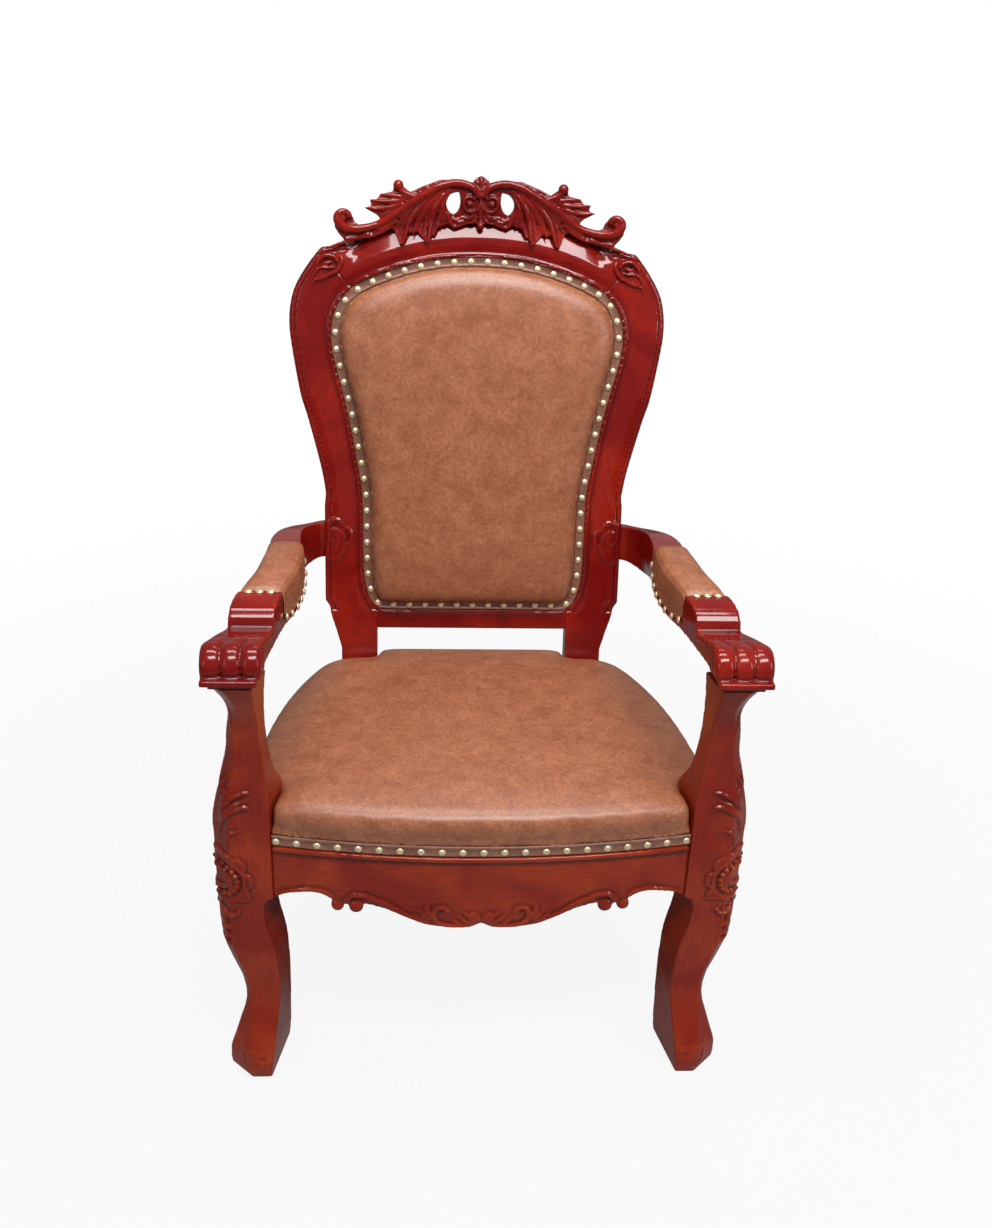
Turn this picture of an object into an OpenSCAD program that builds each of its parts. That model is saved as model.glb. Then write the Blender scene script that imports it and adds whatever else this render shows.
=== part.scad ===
// Carved hardwood armchair with a nailed leather seat, back and arm pads.
// The front of the chair looks along -Y, +Z is up, and the floor is z = 0.
// Left and right are the sitter's: left is the +X side. Lengths are millimetres.
// Seat and posts are measured from the face of the front rail's ends (y = 0 in
// the working frame), and placed() then centres the chair's depth on the origin.

/* [Seat frame] */
// Height of the shown top edge of the seat rails
rail_top = 376; // [356:1:396]
// Height of the rebate above that edge, which carries the trim band
rebate_h = 22; // [20:1:28]
// Depth of the rebate for the trim band
rebate_d = 3; // [2.6:0.1:5]
// Thickness of the seat rails
rail_t = 28; // [24:1:34]
// How far the front rail bows forward of its ends
front_bow = 28; // [15:1:34]
// Depth of the front rail at its highest arches, below the shown top edge
arch_drop = 66; // [54:1:74]
// Depth of the front rail at its centre, below the shown top edge
apron_drop = 112; // [96:1:130]
// Depth of the side rails below the shown top edge
side_rail_h = 76; // [60:1:84]
// From the front rail's ends to the face of the back stiles
seat_depth = 428; // [410:1:450]
// How much wider the seat is than the gap of the posts, on each side
seat_flare = 29; // [24:1:32]

/* [Front posts] */
// Gap between the front posts at the seat
post_gap = 554; // [520:1:590]
// Turn of the posts towards the back, in degrees
post_turn = 11.3; // [8:0.1:14]
// Height where the inner scoop of the leg meets the front rail
scoop_z = 294; // [284:1:300]
// Height of the ankle
ankle_z = 115; // [100:1:130]
// Height of the widest part of the knee
knee_z = 338; // [328:1:344]
// Height of the top of the posts
post_top = 627; // [610:1:650]
// Width of the knee
knee_w = 80; // [72:1:86]
// Width of the ankle
ankle_w = 48; // [42:1:54]
// Width of the foot
foot_w = 71; // [64:1:76]
// Width of the arm support at its neck
neck_w = 45; // [42:1:50]
// Depth of the leg behind the rail's face
leg_depth = 62; // [56:1:68]
// Depth of the arm support's back at its neck
neck_depth = 27; // [24:1:32]
// Reach of the toe in front of the rail's face
toe_reach = 32; // [26:1:38]
// How far the knee stands proud of the rail's ends
knee_proud = 5; // [3:1:8]
// How far the leg's inner edge is scooped out under the rail
scoop = 14; // [8:1:18]
// Chamfer of the outer corner at the foot
foot_chamfer = 34; // [24:1:38]
// Chamfer of the outer corner at the knee
knee_chamfer = 26; // [18:1:32]
// Thickness of a floor glide
glide_h = 4; // [3:0.5:8]
// Radius of a floor glide
glide_r = 10; // [8:0.5:12]

/* [Arms] */
// Width of the carved hand
hand_w = 74; // [66:1:80]
// Radius of the hand's rolled lobes
lobe_r = 27; // [24:1:30]
// Thickness of the plate under the hand
plate_t = 16; // [12:1:20]
// Reach of the plate in front of the rail's face
plate_reach = 44; // [40:1:50]
// Height of the arm's wood under the pad, above the plate's underside
arm_seat_h = 47; // [44:1:54]
// Height of the raised block behind the hand, above the pad's seat
block_h = 16; // [12:1:20]
// Front of the raised block
block_y = 62; // [58:1:68]
// Back of the raised block, where the pad starts
pad_start = 118; // [112:1:124]
// Length of the arm pad
pad_len = 182; // [160:1:200]
// Crown of the arm pad over the wood
pad_crown = 24; // [18:1:30]
// Height of the arm's end at the stile
arm_end_h = 55; // [48:1:60]
// Drop of the underside of the arm's end below the top of the posts
arm_end_drop = 37; // [26:1:48]

/* [Back] */
// Lean of the back, in degrees
lean = 10; // [6:0.5:12]
// Height above the rails' top edge where the lean begins
lean_up = 84; // [74:1:94]
// Thickness of the back frame
frame_t = 36; // [32:1:42]
// Height of the nailed panel's top row above the start of the lean
panel_top = 585; // [560:1:610]
// Height of the nailed panel's bottom row above the start of the lean
panel_low = 59; // [56:1:66]
// Half width of the nailed panel at its widest
panel_half = 213; // [205:1:220]
// Half width of the nailed panel at its waist
waist_half = 166; // [160:1:172]
// Width of the back frame's shown face
face_w = 61; // [54:1:66]
// Height of the lower back rail's shown face
low_rail_h = 31; // [26:1:36]
// Half the gap between the stiles at the seat
stile_half_gap = 150; // [144:1:152]
// Width of a stile at the seat
stile_w = 56; // [54:1:60]
// Reach of the back feet behind the front rail's ends
back_foot_y = 588; // [560:1:600]
// Depth of the back foot
back_foot_d = 43; // [36:1:50]
// Height of the carved crest above the panel's top row
crest_h = 117; // [105:1:125]
// Thickness of the crest behind the frame's face
crest_t = 24; // [18:1:30]
// Relief of the crest's leaves over the frame's face
leaf_t = 6; // [4:1:10]

/* [Upholstery] */
// Crown of the seat cushion at its centre, above the rails
seat_crown = 60; // [50:1:75]
// Height of the seat cushion's shoulder, above the rails
seat_side = 42; // [36:1:50]
// Bulge of the seat cushion's free sides
seat_bulge = 6; // [3:1:10]
// Thickness of the seat board
board_t = 8; // [6:1:12]
// Crown of the back cushion in front of its board
back_crown = 36; // [28:1:44]
// Depth of the rebate in the front of the back frame
panel_rebate = 12; // [10:1:16]
// Thickness of the back board
back_board_t = 6; // [4:0.5:8]
// Thickness of the leather
leather_t = 1.6; // [1.2:0.1:2.4]
// Width of the leather trim band on the back
band_w = 14; // [12:1:16]
// Thickness of the trim band
band_t = 2.5; // [1.5:0.1:2.6]

/* [Fasteners] */
// Radius of a dome nail's head
nail_r = 4.7; // [4:0.1:5.5]
// Height of a dome nail's head
nail_h = 2.6; // [2:0.1:3.4]
// Radius of a dome nail's shank
shank_r = 1; // [0.8:0.1:1.3]
// Length of a dome nail's shank
shank_l = 14; // [10:1:16]
// Spacing of the nails on the front and sides of the seat
seat_pitch = 27; // [22:1:32]
// Spacing of the nails round the back panel
back_pitch = 25; // [20:1:30]
// Spacing of the nails on the outside of the back
rear_pitch = 40; // [32:1:50]
// Spacing of the nails under the arm pads
arm_pitch = 24; // [20:1:30]
// Radius of the dowels
dowel_r = 5; // [4:0.5:6]
// Length of the dowels
dowel_l = 44; // [36:1:50]
// Radius of a wood screw's shank
screw_r = 2; // [1.5:0.1:2.5]
// Length of a wood screw
screw_l = 40; // [30:1:48]

/* [Hidden] */
// Radial clearance of a dowel, screw or nail in its hole
hole_fit = 0.1;
// Clearance at the end of a blind hole
hole_end = 1;
// Clearance of upholstery to wood
soft_gap = 0.3;
// Overrun of a cutting shape
cut = 1;
$fn = 32;

wood = "#7d1510";
wood_dark = "#5c0f0c";
hidden_wood = "#c8a06a";
leather = "#9a5a33";
leather_dark = "#6f4128";
brass = "#d8b766";
foam_colour = "#e8dcae";
steel = "#9aa0a6";

post_in = post_gap / 2;
seat_z = rail_top + rebate_h;
lean_z = rail_top + lean_up;
lean_y = seat_depth + 12;
stile_out = stile_half_gap + stile_w;
arm_side = waist_half + 65;
mid_y = (back_foot_y - plate_reach) / 2;

// Curves and paths

// One point of a Catmull-Rom curve
function spline_at(a, b, c, d, t) =
    0.5 * (2 * b + (c - a) * t + (2 * a - 5 * b + 4 * c - d) * t * t
        + (3 * b - a - 3 * c + d) * t * t * t);

// A smooth path through the points, with n steps a span
function smooth(p, n = 4) = let (m = len(p)) [
    for (i = [0 : m - 2], j = [0 : n - 1])
        spline_at(p[max(i - 1, 0)], p[i], p[i + 1], p[min(i + 2, m - 1)], j / n),
    p[m - 1]
];

function reversed(p) = [for (i = [len(p) - 1 : -1 : 0]) p[i]];
function flipped(p) = [for (q = reversed(p)) if (q[0] > 0.01) [-q[0], q[1]]];
function both_halves(p) = concat(p, flipped(p));
function columns(p, a, b) = [for (q = p) [q[a], q[b]]];

// Unit normal on the right-hand side of an open path, at point i
function side_normal(p, i) =
    let (a = p[max(i - 1, 0)], b = p[min(i + 1, len(p) - 1)], d = (b - a) / norm(b - a))
    [d[1], -d[0]];

// The path moved sideways, to its right-hand side when d is positive
function shifted(p, d) = [for (i = [0 : len(p) - 1]) p[i] + side_normal(p, i) * d];

// The same for a closed loop
function loop_normal(p, i) =
    let (n = len(p), d = p[(i + 1) % n] - p[(i + n - 1) % n])
    [d[1], -d[0]] / norm(d);
function grown(p, d) = [for (i = [0 : len(p) - 1]) p[i] + loop_normal(p, i) * d];

// Running length at each point, and the point and heading at length s
function running(p) = [
    for (i = 0, s = 0; i < len(p); s = s + (i + 1 < len(p) ? norm(p[i + 1] - p[i]) : 0), i = i + 1) s
];
function span_at(r, s) = max([for (i = [0 : len(r) - 2]) r[i] <= s ? i : 0]);
function along(p, r, s) =
    let (i = span_at(r, s)) p[i] + (p[i + 1] - p[i]) * (s - r[i]) / (r[i + 1] - r[i]);
function heading(p, r, s) =
    let (i = span_at(r, s), d = p[i + 1] - p[i]) atan2(-d[0], d[1]);

// Height on a profile of [y, z] points, at depth y
function level(p, y) = let (i = max([for (k = [0 : len(p) - 2]) p[k][0] <= y ? k : 0]))
    p[i][1] + (p[i + 1][1] - p[i][1]) * (y - p[i][0]) / (p[i + 1][0] - p[i][0]);

// Frames and slabs

module placed() {
    translate([0, -mid_y, 0]) children();
}

module sided(left) {
    mirror([left ? 0 : 1, 0, 0]) children();
}

module both_sides() {
    for (left = [true, false]) sided(left) children();
}

// The back's own frame: x across, y into the frame, z up the lean
module leaned() {
    translate([0, lean_y, lean_z]) rotate([-lean, 0, 0]) children();
}

// A front-view shape made thick from depth a to depth b
module slab(a, b) {
    translate([0, b, 0]) rotate([90, 0, 0]) linear_extrude(height = b - a) children();
}

// A side-view shape made wide from a to b
module slice(a, b) {
    translate([a, 0, 0]) rotate([90, 0, 90]) linear_extrude(height = b - a) children();
}

// A plan shape made tall from a to b
module layer(a, b) {
    translate([0, 0, a]) linear_extrude(height = b - a) children();
}

// Front posts: cabriole leg and arm support in one piece

// The chamfer's stations stand a little above the faces' own
chamfer_lag = 3;
function low_z(f) = ankle_z + f * (knee_z - ankle_z);
function up_z(f) = rail_top + f * (post_top - rail_top);

// Stations up the post: height, width from the inner face, front face, chamfer
post_front = [
    [glide_h, foot_w, 4 - toe_reach, foot_chamfer],
    [0.3 * ankle_z, foot_w - 1, -toe_reach, foot_chamfer],
    [0.5 * ankle_z, foot_w - 8, 10 - toe_reach, foot_chamfer - 8],
    [0.75 * ankle_z, ankle_w + 7, -6, 18],
    [ankle_z, ankle_w, 8, 10],
    [low_z(0.16), ankle_w + 4, 8, 10],
    [low_z(0.4), knee_w - 9, 3, 14],
    [low_z(0.63), knee_w - 2, -1, 20],
    [knee_z, knee_w, -knee_proud, knee_chamfer],
    [up_z(0.1), knee_w, -knee_proud, knee_chamfer],
    [up_z(0.23), knee_w - 4, -knee_proud + 1, 22],
    [up_z(0.35), knee_w - 12, -3, 18],
    [up_z(0.47), neck_w + 15, -1, 14],
    [up_z(0.57), neck_w + 10, -1, 12],
    [up_z(0.69), neck_w + 7, -3, 10],
    [up_z(0.79), neck_w + 2, -9, 10],
    [up_z(0.9), neck_w, -22, 10],
    [post_top, neck_w + 3, -34, 8]
];

// Inner edge up the post: width cut from the inner face, and height
post_inner = concat(
    smooth([
        [4, glide_h], [1, 0.36 * ankle_z], [0, 0.96 * ankle_z], [0, low_z(0.13)],
        [2, scoop_z - 104], [6, scoop_z - 78], [scoop - 3, scoop_z - 54],
        [scoop, scoop_z - 26], [scoop - 2, scoop_z - 10], [5, scoop_z - 2]
    ], 3),
    [[0, scoop_z]],
    smooth([
        [0, up_z(0.25)], [3, up_z(0.34)], [6, up_z(0.5)], [9, up_z(0.67)],
        [8, up_z(0.85)], [4, post_top]
    ], 3)
);

// Back edge up the post: depth and height
post_back = concat(
    [[leg_depth, glide_h]],
    smooth([
        [leg_depth, up_z(0.2)], [leg_depth - 5, up_z(0.29)], [leg_depth - 17, up_z(0.36)],
        [neck_depth + 9, up_z(0.42)], [neck_depth + 3, up_z(0.52)], [neck_depth, up_z(0.66)],
        [neck_depth - 2, up_z(0.82)], [neck_depth - 5, post_top]
    ], 3)
);

// Inner face of a post, in plan, at depth y
function post_face(y) = post_in - y * tan(post_turn);

module post_blank() {
    outer = smooth([for (s = post_front) [(post_in + s[1]) * cos(post_turn), s[0]]], 2);
    inner = [for (q = post_inner) [(post_in + q[0]) * cos(post_turn), q[1]]];
    front = smooth(columns(post_front, 2, 0), 2);
    corner = smooth([for (s = post_front)
        [(post_in + s[1] - s[2] - s[3]) / sqrt(2), s[0] + chamfer_lag]], 2);
    intersection() {
        rotate([0, 0, post_turn]) slab(-2 * toe_reach - 60, 2 * leg_depth + 60)
            polygon(concat(outer, reversed(inner)));
        slice(post_in - 2 * leg_depth, post_in + 2 * knee_w)
            polygon(concat(post_back, reversed(front)));
        rotate([0, 0, -45]) slab(post_in - 300, post_in + 300)
            polygon(concat([[corner[0][0], glide_h - cut]], corner, [[0, post_top + cut], [0, glide_h - cut]]));
    }
}

module front_post(left) {
    color(wood) placed() sided(left) difference() {
        post_blank();
        half_rail_dowels() dowel_hole();
        arm_front_dowel() dowel_hole();
        front_glide_place() glide_spike(hole_fit);
    }
}

module front_post_left() {
    front_post(true);
}

module front_post_right() {
    front_post(false);
}

// Seat outline, on the face behind the trim band, right half from the front

front_arc_r = (post_in * post_in + front_bow * front_bow) / (2 * front_bow);
function front_line(x, d = 0) =
    front_arc_r - front_bow - sqrt((front_arc_r + d) * (front_arc_r + d) - x * x);

side_path = smooth([
    [post_in + seat_flare, leg_depth], [post_in + seat_flare, 0.26 * seat_depth],
    [post_in + seat_flare - 4, 0.37 * seat_depth], [post_in + seat_flare - 13, 0.52 * seat_depth],
    [post_in + seat_flare - 28, 0.68 * seat_depth], [stile_out + 48, 0.84 * seat_depth],
    [stile_out + 24, 0.95 * seat_depth], [stile_out, seat_depth]
], 3);
side_face = shifted(side_path, rebate_d);
side_inner = shifted(side_path, -rail_t);

back_rail_front = seat_depth + 6;
back_rail_back = back_rail_front + rail_t;

// The seat outline on the rebate's face: [x, y, free], where free is 1 on an open side
function with_free(p, f) = [for (q = p) [q[0], q[1], f]];
seat_half = concat(
    [for (i = [0 : 8]) let (x = (post_in - soft_gap) * i / 8) [x, front_line(x), i < 8 ? 1 : 0]],
    [[post_face(leg_depth) - soft_gap, leg_depth + soft_gap, 0]],
    [[side_path[0][0], leg_depth + soft_gap, 0]],
    with_free([for (i = [2 : 2 : len(side_path) - 3]) side_path[i]], 1),
    [[stile_out, seat_depth - soft_gap, 0],
     [stile_half_gap - soft_gap, seat_depth - soft_gap, 0],
     [stile_half_gap - soft_gap, back_rail_back - rebate_d, 0],
     [stile_half_gap * 0.7, back_rail_back - rebate_d, 1],
     [stile_half_gap * 0.35, back_rail_back - rebate_d, 1],
     [0, back_rail_back - rebate_d, 1]]
);
seat_loop = concat(seat_half, [for (q = reversed(seat_half)) if (q[0] > 0.01) [-q[0], q[1], q[2]]]);
seat_plan = columns(seat_loop, 0, 1);
seat_centre = [0, 0.48 * seat_depth];

// The space inside the rails, grown by -c, right half from the front
function inside_half(c) = let (inner = shifted(side_path, -rail_t - c)) concat(
    [[0, rail_t + c], [post_face(rail_t) - c, rail_t + c],
     [post_face(leg_depth) - c, leg_depth + c]],
    [for (q = inner) if (q[1] > leg_depth + c && q[1] < seat_depth - c) q],
    [[cross_x(inner, seat_depth - c), seat_depth - c],
     [stile_half_gap - c, seat_depth - c], [stile_half_gap - c, back_rail_front - c],
     [0, back_rail_front - c]]
);
// Where a path crosses depth y
function cross_x(p, y) = let (i = max([for (k = [0 : len(p) - 2]) p[k][1] <= y ? k : 0]))
    p[i][0] + (p[i + 1][0] - p[i][0]) * (y - p[i][1]) / (p[i + 1][1] - p[i][1]);

module front_rail_plan(d) {
    n = 12;
    end_y = front_line(post_in, d);
    polygon(concat(
        [for (i = [-n : n]) let (x = post_in * i / n)
            [i == n ? post_face(end_y) : (i == -n ? -post_face(end_y) : x), front_line(x, d)]],
        [[post_face(rail_t), rail_t], [-post_face(rail_t), rail_t]]
    ));
}

// Scalloped lower edge of the front rail, right half from the post
knob_x = 0.69 * post_in;
knob_gap = 0.089 * post_in;
arch_z = rail_top - arch_drop;
apron_z = rail_top - apron_drop;
apron_edge = concat(
    [[post_in, scoop_z]],
    smooth([
        [0.945 * post_in, scoop_z + 9], [0.87 * post_in, arch_z - 1], [0.79 * post_in, arch_z],
        [knob_x + 9, arch_z - 8]
    ], 4),
    [[knob_x, arch_z - 14], [knob_x - knob_gap, arch_z - 16]],
    smooth([
        [knob_x - knob_gap - 10, arch_z - 13], [0.5 * post_in, arch_z - 16],
        [0.4 * post_in, arch_z - 26], [0.275 * post_in, apron_z + 5],
        [0.15 * post_in, apron_z], [0.05 * post_in, apron_z]
    ], 4),
    [[0, apron_z + 7]]
);

module front_rail_shape() {
    intersection() {
        layer(apron_z - cut, rail_top) front_rail_plan(0);
        slab(-front_bow - cut, rail_t + cut)
            polygon(both_halves(concat([[0, rail_top + cut], [post_in + cut, rail_top + cut],
                [post_in + cut, scoop_z]], apron_edge)));
    }
    layer(rail_top, seat_z) front_rail_plan(-rebate_d);
    both_sides() {
        knob(knob_x, arch_z - 18, 8.5);
        knob(knob_x - knob_gap, arch_z - 18, 9.5);
    }
}

// A turned-down knob on the rail's lower edge
module knob(x, z, r) {
    translate([x, 0, z]) rotate([90, 0, 0]) translate([0, 0, -front_line(x) - rail_t])
        cylinder(r = r, h = rail_t);
}

module front_seat_rail() {
    color(wood) placed() difference() {
        front_rail_shape();
        both_sides() {
            half_rail_dowels() dowel_hole();
            block_screws() screw_hole();
            board_screws() screw_hole();
        }
        seat_front_nails() nail_hole();
    }
}

side_low = rail_top - side_rail_h;

module side_rail_shape() {
    layer(side_low, rail_top) polygon(concat(clip_back(side_face), reversed(clip_back(side_inner))));
    layer(rail_top, seat_z) polygon(concat(clip_back(side_path), reversed(clip_back(side_inner))));
}

// A side path cut square at the post's back and at the stile's face
function clip_back(p) = concat(
    [[p[0][0], leg_depth]],
    [for (i = [1 : len(p) - 1]) if (p[i][1] > leg_depth + 0.1 && p[i][1] < seat_depth - 0.1) p[i]],
    [[cross_x(p, seat_depth), seat_depth]]
);

module side_seat_rail(left) {
    color(wood) placed() sided(left) difference() {
        side_rail_shape();
        half_rail_dowels() dowel_hole();
        block_screws() screw_hole();
        board_screws() screw_hole();
        seat_side_nails() nail_hole();
    }
}

module side_seat_rail_left() {
    side_seat_rail(true);
}

module side_seat_rail_right() {
    side_seat_rail(false);
}

module back_seat_rail() {
    color(wood_dark) placed() difference() {
        union() {
            layer(side_low, rail_top) translate([-stile_half_gap, back_rail_front])
                square([2 * stile_half_gap, rail_t]);
            layer(rail_top, seat_z) translate([-stile_half_gap, back_rail_front])
                square([2 * stile_half_gap, rail_t - rebate_d]);
        }
        both_sides() {
            half_rail_dowels() dowel_hole();
            block_screws() screw_hole();
            board_screws() screw_hole();
        }
        seat_back_nails() nail_hole();
    }
}

// Corner blocks, glued and screwed inside the four corners

block_top = rail_top - 6;
block_low = side_low + 6;
block_reach = 76;

module corner_block_plan(front) {
    intersection() {
        polygon(both_halves(inside_half(0)));
        if (front) {
            polygon([[post_in - block_reach, rail_t], [post_in + 60, rail_t],
                [post_in + 60, leg_depth + block_reach], [post_in - 2, leg_depth + block_reach]]);
        } else {
            polygon([[stile_half_gap - 0.8 * block_reach, back_rail_front],
                [stile_half_gap, seat_depth - block_reach],
                [post_in + 60, seat_depth - block_reach], [post_in + 60, back_rail_front]]);
        }
    }
}

module corner_blocks() {
    color(hidden_wood) placed() both_sides() for (front = [true, false]) difference() {
        layer(block_low, block_top) corner_block_plan(front);
        block_screws() screw_hole();
    }
}

// Back stiles: back leg and back upright in one piece

function lean_point(n, s) = [lean_y + n * cos(lean) + s * sin(lean),
    lean_z - n * sin(lean) + s * cos(lean)];
frame_top_s = panel_top + crest_h + 20;
stile_front = concat(
    smooth([
        [back_foot_y - back_foot_d, glide_h], [back_foot_y - 66, 0.3 * side_low],
        [seat_depth + 60, 0.6 * side_low], [seat_depth + 25, 0.82 * side_low],
        [seat_depth + 4, side_low - 8]
    ], 3),
    [[seat_depth, side_low], [seat_depth, seat_z]],
    smooth([[seat_depth + 1, seat_z + 12], lean_point(0, -20), lean_point(0, 4)], 3),
    [lean_point(0, frame_top_s)]
);
stile_back = concat(
    smooth([
        [back_foot_y, glide_h], [back_foot_y - 20, 0.3 * side_low],
        [seat_depth + 103, 0.6 * side_low], [seat_depth + 68, 0.82 * side_low],
        [back_rail_back + 14, side_low - 4], [back_rail_back + 8, side_low + 40],
        [back_rail_back + 6, rail_top], lean_point(frame_t, -24), lean_point(frame_t, 0)
    ], 3),
    [lean_point(frame_t, frame_top_s)]
);

// Nail line of the back panel, right half from the top centre
waist_s = 0.3 * panel_top;
nail_half = concat(
    smooth([
        [0, panel_top], [0.28 * panel_half, panel_top - 4], [0.56 * panel_half, panel_top - 18],
        [0.83 * panel_half, panel_top - 42], [0.955 * panel_half, panel_top - 68],
        [panel_half, panel_top - 104], [panel_half - 4, panel_top - 145],
        [panel_half - 23, panel_top - 220], [waist_half + 9, panel_top - 300],
        [waist_half + 1, panel_top - 355], [waist_half, waist_s - 25],
        [waist_half - 2, panel_low + 45], [waist_half - 8, panel_low + 16]
    ], 3),
    [[waist_half - 17, panel_low + 3], [waist_half - 28, panel_low]],
    [for (i = [2 : -1 : 0]) [(waist_half - 28) * i / 3, panel_low]]
);
nail_loop = both_halves(nail_half);

// Band edges and the frame's opening; the loop runs clockwise, so +d is inwards
band_outer = grown(nail_loop, -band_w / 2);
band_inner = grown(nail_loop, band_w / 2);
rebate_line = grown(nail_loop, -band_w / 2 - soft_gap);
opening_line = grown(nail_loop, band_w / 2 + 4);

// Outer edge of the frame, up the right-hand stile to the shoulder
mitre_in = [panel_half - 22, panel_top - 38];
shoulder = [panel_half + 20, panel_top + 15];
outer_edge = concat(
    [[stile_out - 6, -lean_z - 60], [stile_out, -lean_up - 60], [stile_out, -12]],
    smooth([[stile_out + 9, 20], [stile_out + 16, 42], [stile_out + 18, 56]], 3),
    [[arm_side, 66], [arm_side, waist_s + 40]],
    smooth([
        [arm_side - 2, waist_s + 60], [arm_side + 5, waist_s + 101],
        [arm_side + 24, waist_s + 175], [panel_half + face_w - 8, panel_top - 197],
        [panel_half + face_w + 4, panel_top - 126], [panel_half + face_w + 7, panel_top - 90],
        [panel_half + face_w + 3, panel_top - 58], [panel_half + face_w - 6, panel_top - 34],
        [panel_half + face_w - 24, panel_top - 6], shoulder
    ], 4)
);
// Top edge of the top rail from the shoulder to the centre, where the crest sits
crest_seat = [
    shoulder, [0.91 * panel_half, panel_top + 21], [0.8 * panel_half, panel_top + 31],
    [0.66 * panel_half, panel_top + 43], [0.47 * panel_half, panel_top + 51],
    [0.28 * panel_half, panel_top + 55], [0, panel_top + 55]
];

// The region above both mitres
function mitre_region(up) = let (o = mitre_in[1] - mitre_in[0], w = 2 * panel_half)
    [[0, o], [w, o + w], [w, o + w + up], [-w, o + w + up], [-w, o + w]];

module back_opening() {
    leaned() slab(-cut, frame_t + cut) polygon(opening_line);
    leaned() slab(-cut, panel_rebate) polygon(rebate_line);
}

module stile_blank() {
    intersection() {
        leaned() slab(-lean_z, lean_z) polygon(concat(outer_edge,
            [[stile_half_gap, panel_top + 40], [stile_half_gap, -lean_up - 60],
             [stile_half_gap + 8, -lean_z - 60]]));
        slice(0, 2 * panel_half) polygon(concat(stile_back, reversed(stile_front)));
    }
}

module back_stile(left) {
    color(wood) placed() sided(left) difference() {
        stile_blank();
        back_opening();
        leaned() slab(-lean_z, lean_z) polygon(mitre_region(crest_h));
        half_rail_dowels() dowel_hole();
        half_frame_dowels() dowel_hole();
        arm_end_dowels() dowel_hole();
        back_nail_places() nail_hole();
        rear_nail_places() nail_hole();
        back_glide_place() glide_spike(hole_fit);
    }
}

module back_stile_left() {
    back_stile(true);
}

module back_stile_right() {
    back_stile(false);
}

module top_rail() {
    half = [[0, mitre_in[1] - face_w], [stile_half_gap, mitre_in[1] - face_w]];
    edge = [for (q = outer_edge) if (q[1] > mitre_in[1]) q];
    color(wood) placed() difference() {
        intersection() {
            leaned() slab(0, frame_t) polygon(both_halves(concat(half, edge, crest_seat)));
            leaned() slab(-cut, frame_t + cut) polygon(mitre_region(crest_h));
        }
        back_opening();
        both_sides() {
            half_frame_dowels() dowel_hole();
            crest_dowels() dowel_hole();
        }
        back_nail_places() nail_hole();
        rear_nail_places() nail_hole();
    }
}

module lower_back_rail() {
    low = panel_low - band_w / 2 - low_rail_h;
    color(wood) placed() difference() {
        leaned() slab(0, frame_t) polygon(both_halves([[0, low], [stile_half_gap, low],
            [stile_half_gap, panel_low + band_w / 2 + 4], [0, panel_low + band_w / 2 + 4]]));
        back_opening();
        both_sides() half_frame_dowels() dowel_hole();
        back_nail_places() nail_hole();
        rear_nail_places() nail_hole();
    }
}

// Crest: pierced scrollwork on top of the top rail

function crest_pt(x, s) = [x * panel_half / 213, panel_top + s * crest_h / 117];
crest_outline = [for (q = [
    [0, 120], [7, 117], [10, 110], [28, 114], [60, 113], [86, 103], [103, 95], [111, 101],
    [119, 106], [127, 102], [128, 95], [146, 91], [151, 84], [161, 83], [159, 75], [168, 71],
    [152, 63], [145, 56], [158, 49], [174, 47], [184, 51], [187, 59], [193, 65], [201, 66],
    [209, 61], [213, 53], [212, 43], [206, 34]
]) crest_pt(q[0], q[1])];
crest_eye = smooth([for (q = [
    [31, 98], [43, 95], [50, 85], [49, 74], [41, 66], [33, 71], [29, 83], [31, 98]
]) crest_pt(q[0], q[1])], 2);
// The leaves that lie on the top rail's face, under the crest
crest_leaves = [for (q = [
    [206, 34], [196, 26], [174, 30], [142, 44], [126, 42], [117, 19], [106, 38], [92, 40],
    [77, 23], [64, 46], [50, 52], [37, 46], [20, 52], [10, 55], [0, 49]
]) crest_pt(q[0], q[1])];

module crest_carving() {
    color(wood) placed() difference() {
        union() {
            leaned() slab(-leaf_t, 0) polygon(both_halves(concat(crest_outline, crest_leaves)));
            leaned() slab(-leaf_t / 2, crest_t)
                polygon(both_halves(concat(crest_outline, [for (i = [1 : 6]) crest_seat[i]])));
        }
        leaned() for (m = [0, 1]) mirror([m, 0, 0]) slab(-leaf_t - cut, crest_t + cut)
            polygon(crest_eye);
        both_sides() crest_dowels() dowel_hole();
    }
}

// Arms

hand_z = post_top + plate_t;
pad_seat = post_top + arm_seat_h;
pad_end = pad_start + pad_len;
arm_end_low = post_top - arm_end_drop;
arm_end_y = lean_point(0.5 * frame_t, arm_end_low + 0.5 * arm_end_h - lean_z)[0];

// The arm's plan: offsets from the post's inner face in shares of the hand, and
// places along the pad in shares of its length
function off(f) = post_in + f * hand_w;
function pad_at(f) = pad_start + f * pad_len;
arm_outer = smooth([
    [off(0.92), -0.13 * block_y], [off(0.84), 0.48 * block_y], [off(0.68), block_y],
    [off(0.62), pad_at(-0.1)], [off(0.51), pad_at(0.09)], [off(0.37), pad_at(0.31)],
    [off(0.3), pad_at(0.56)], [off(0.26), pad_at(0.78)], [off(0.28), pad_at(1.03)],
    [off(0.31), pad_at(1.25)], [off(0.24), arm_end_y - 1.3 * hand_w],
    [off(0.05), arm_end_y - 0.76 * hand_w], [arm_side + 0.38 * hand_w, arm_end_y - 0.27 * hand_w],
    [arm_side + 0.14 * hand_w, arm_end_y + 0.08 * hand_w], [arm_side, arm_end_y + 0.18 * hand_w]
], 4);
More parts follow.
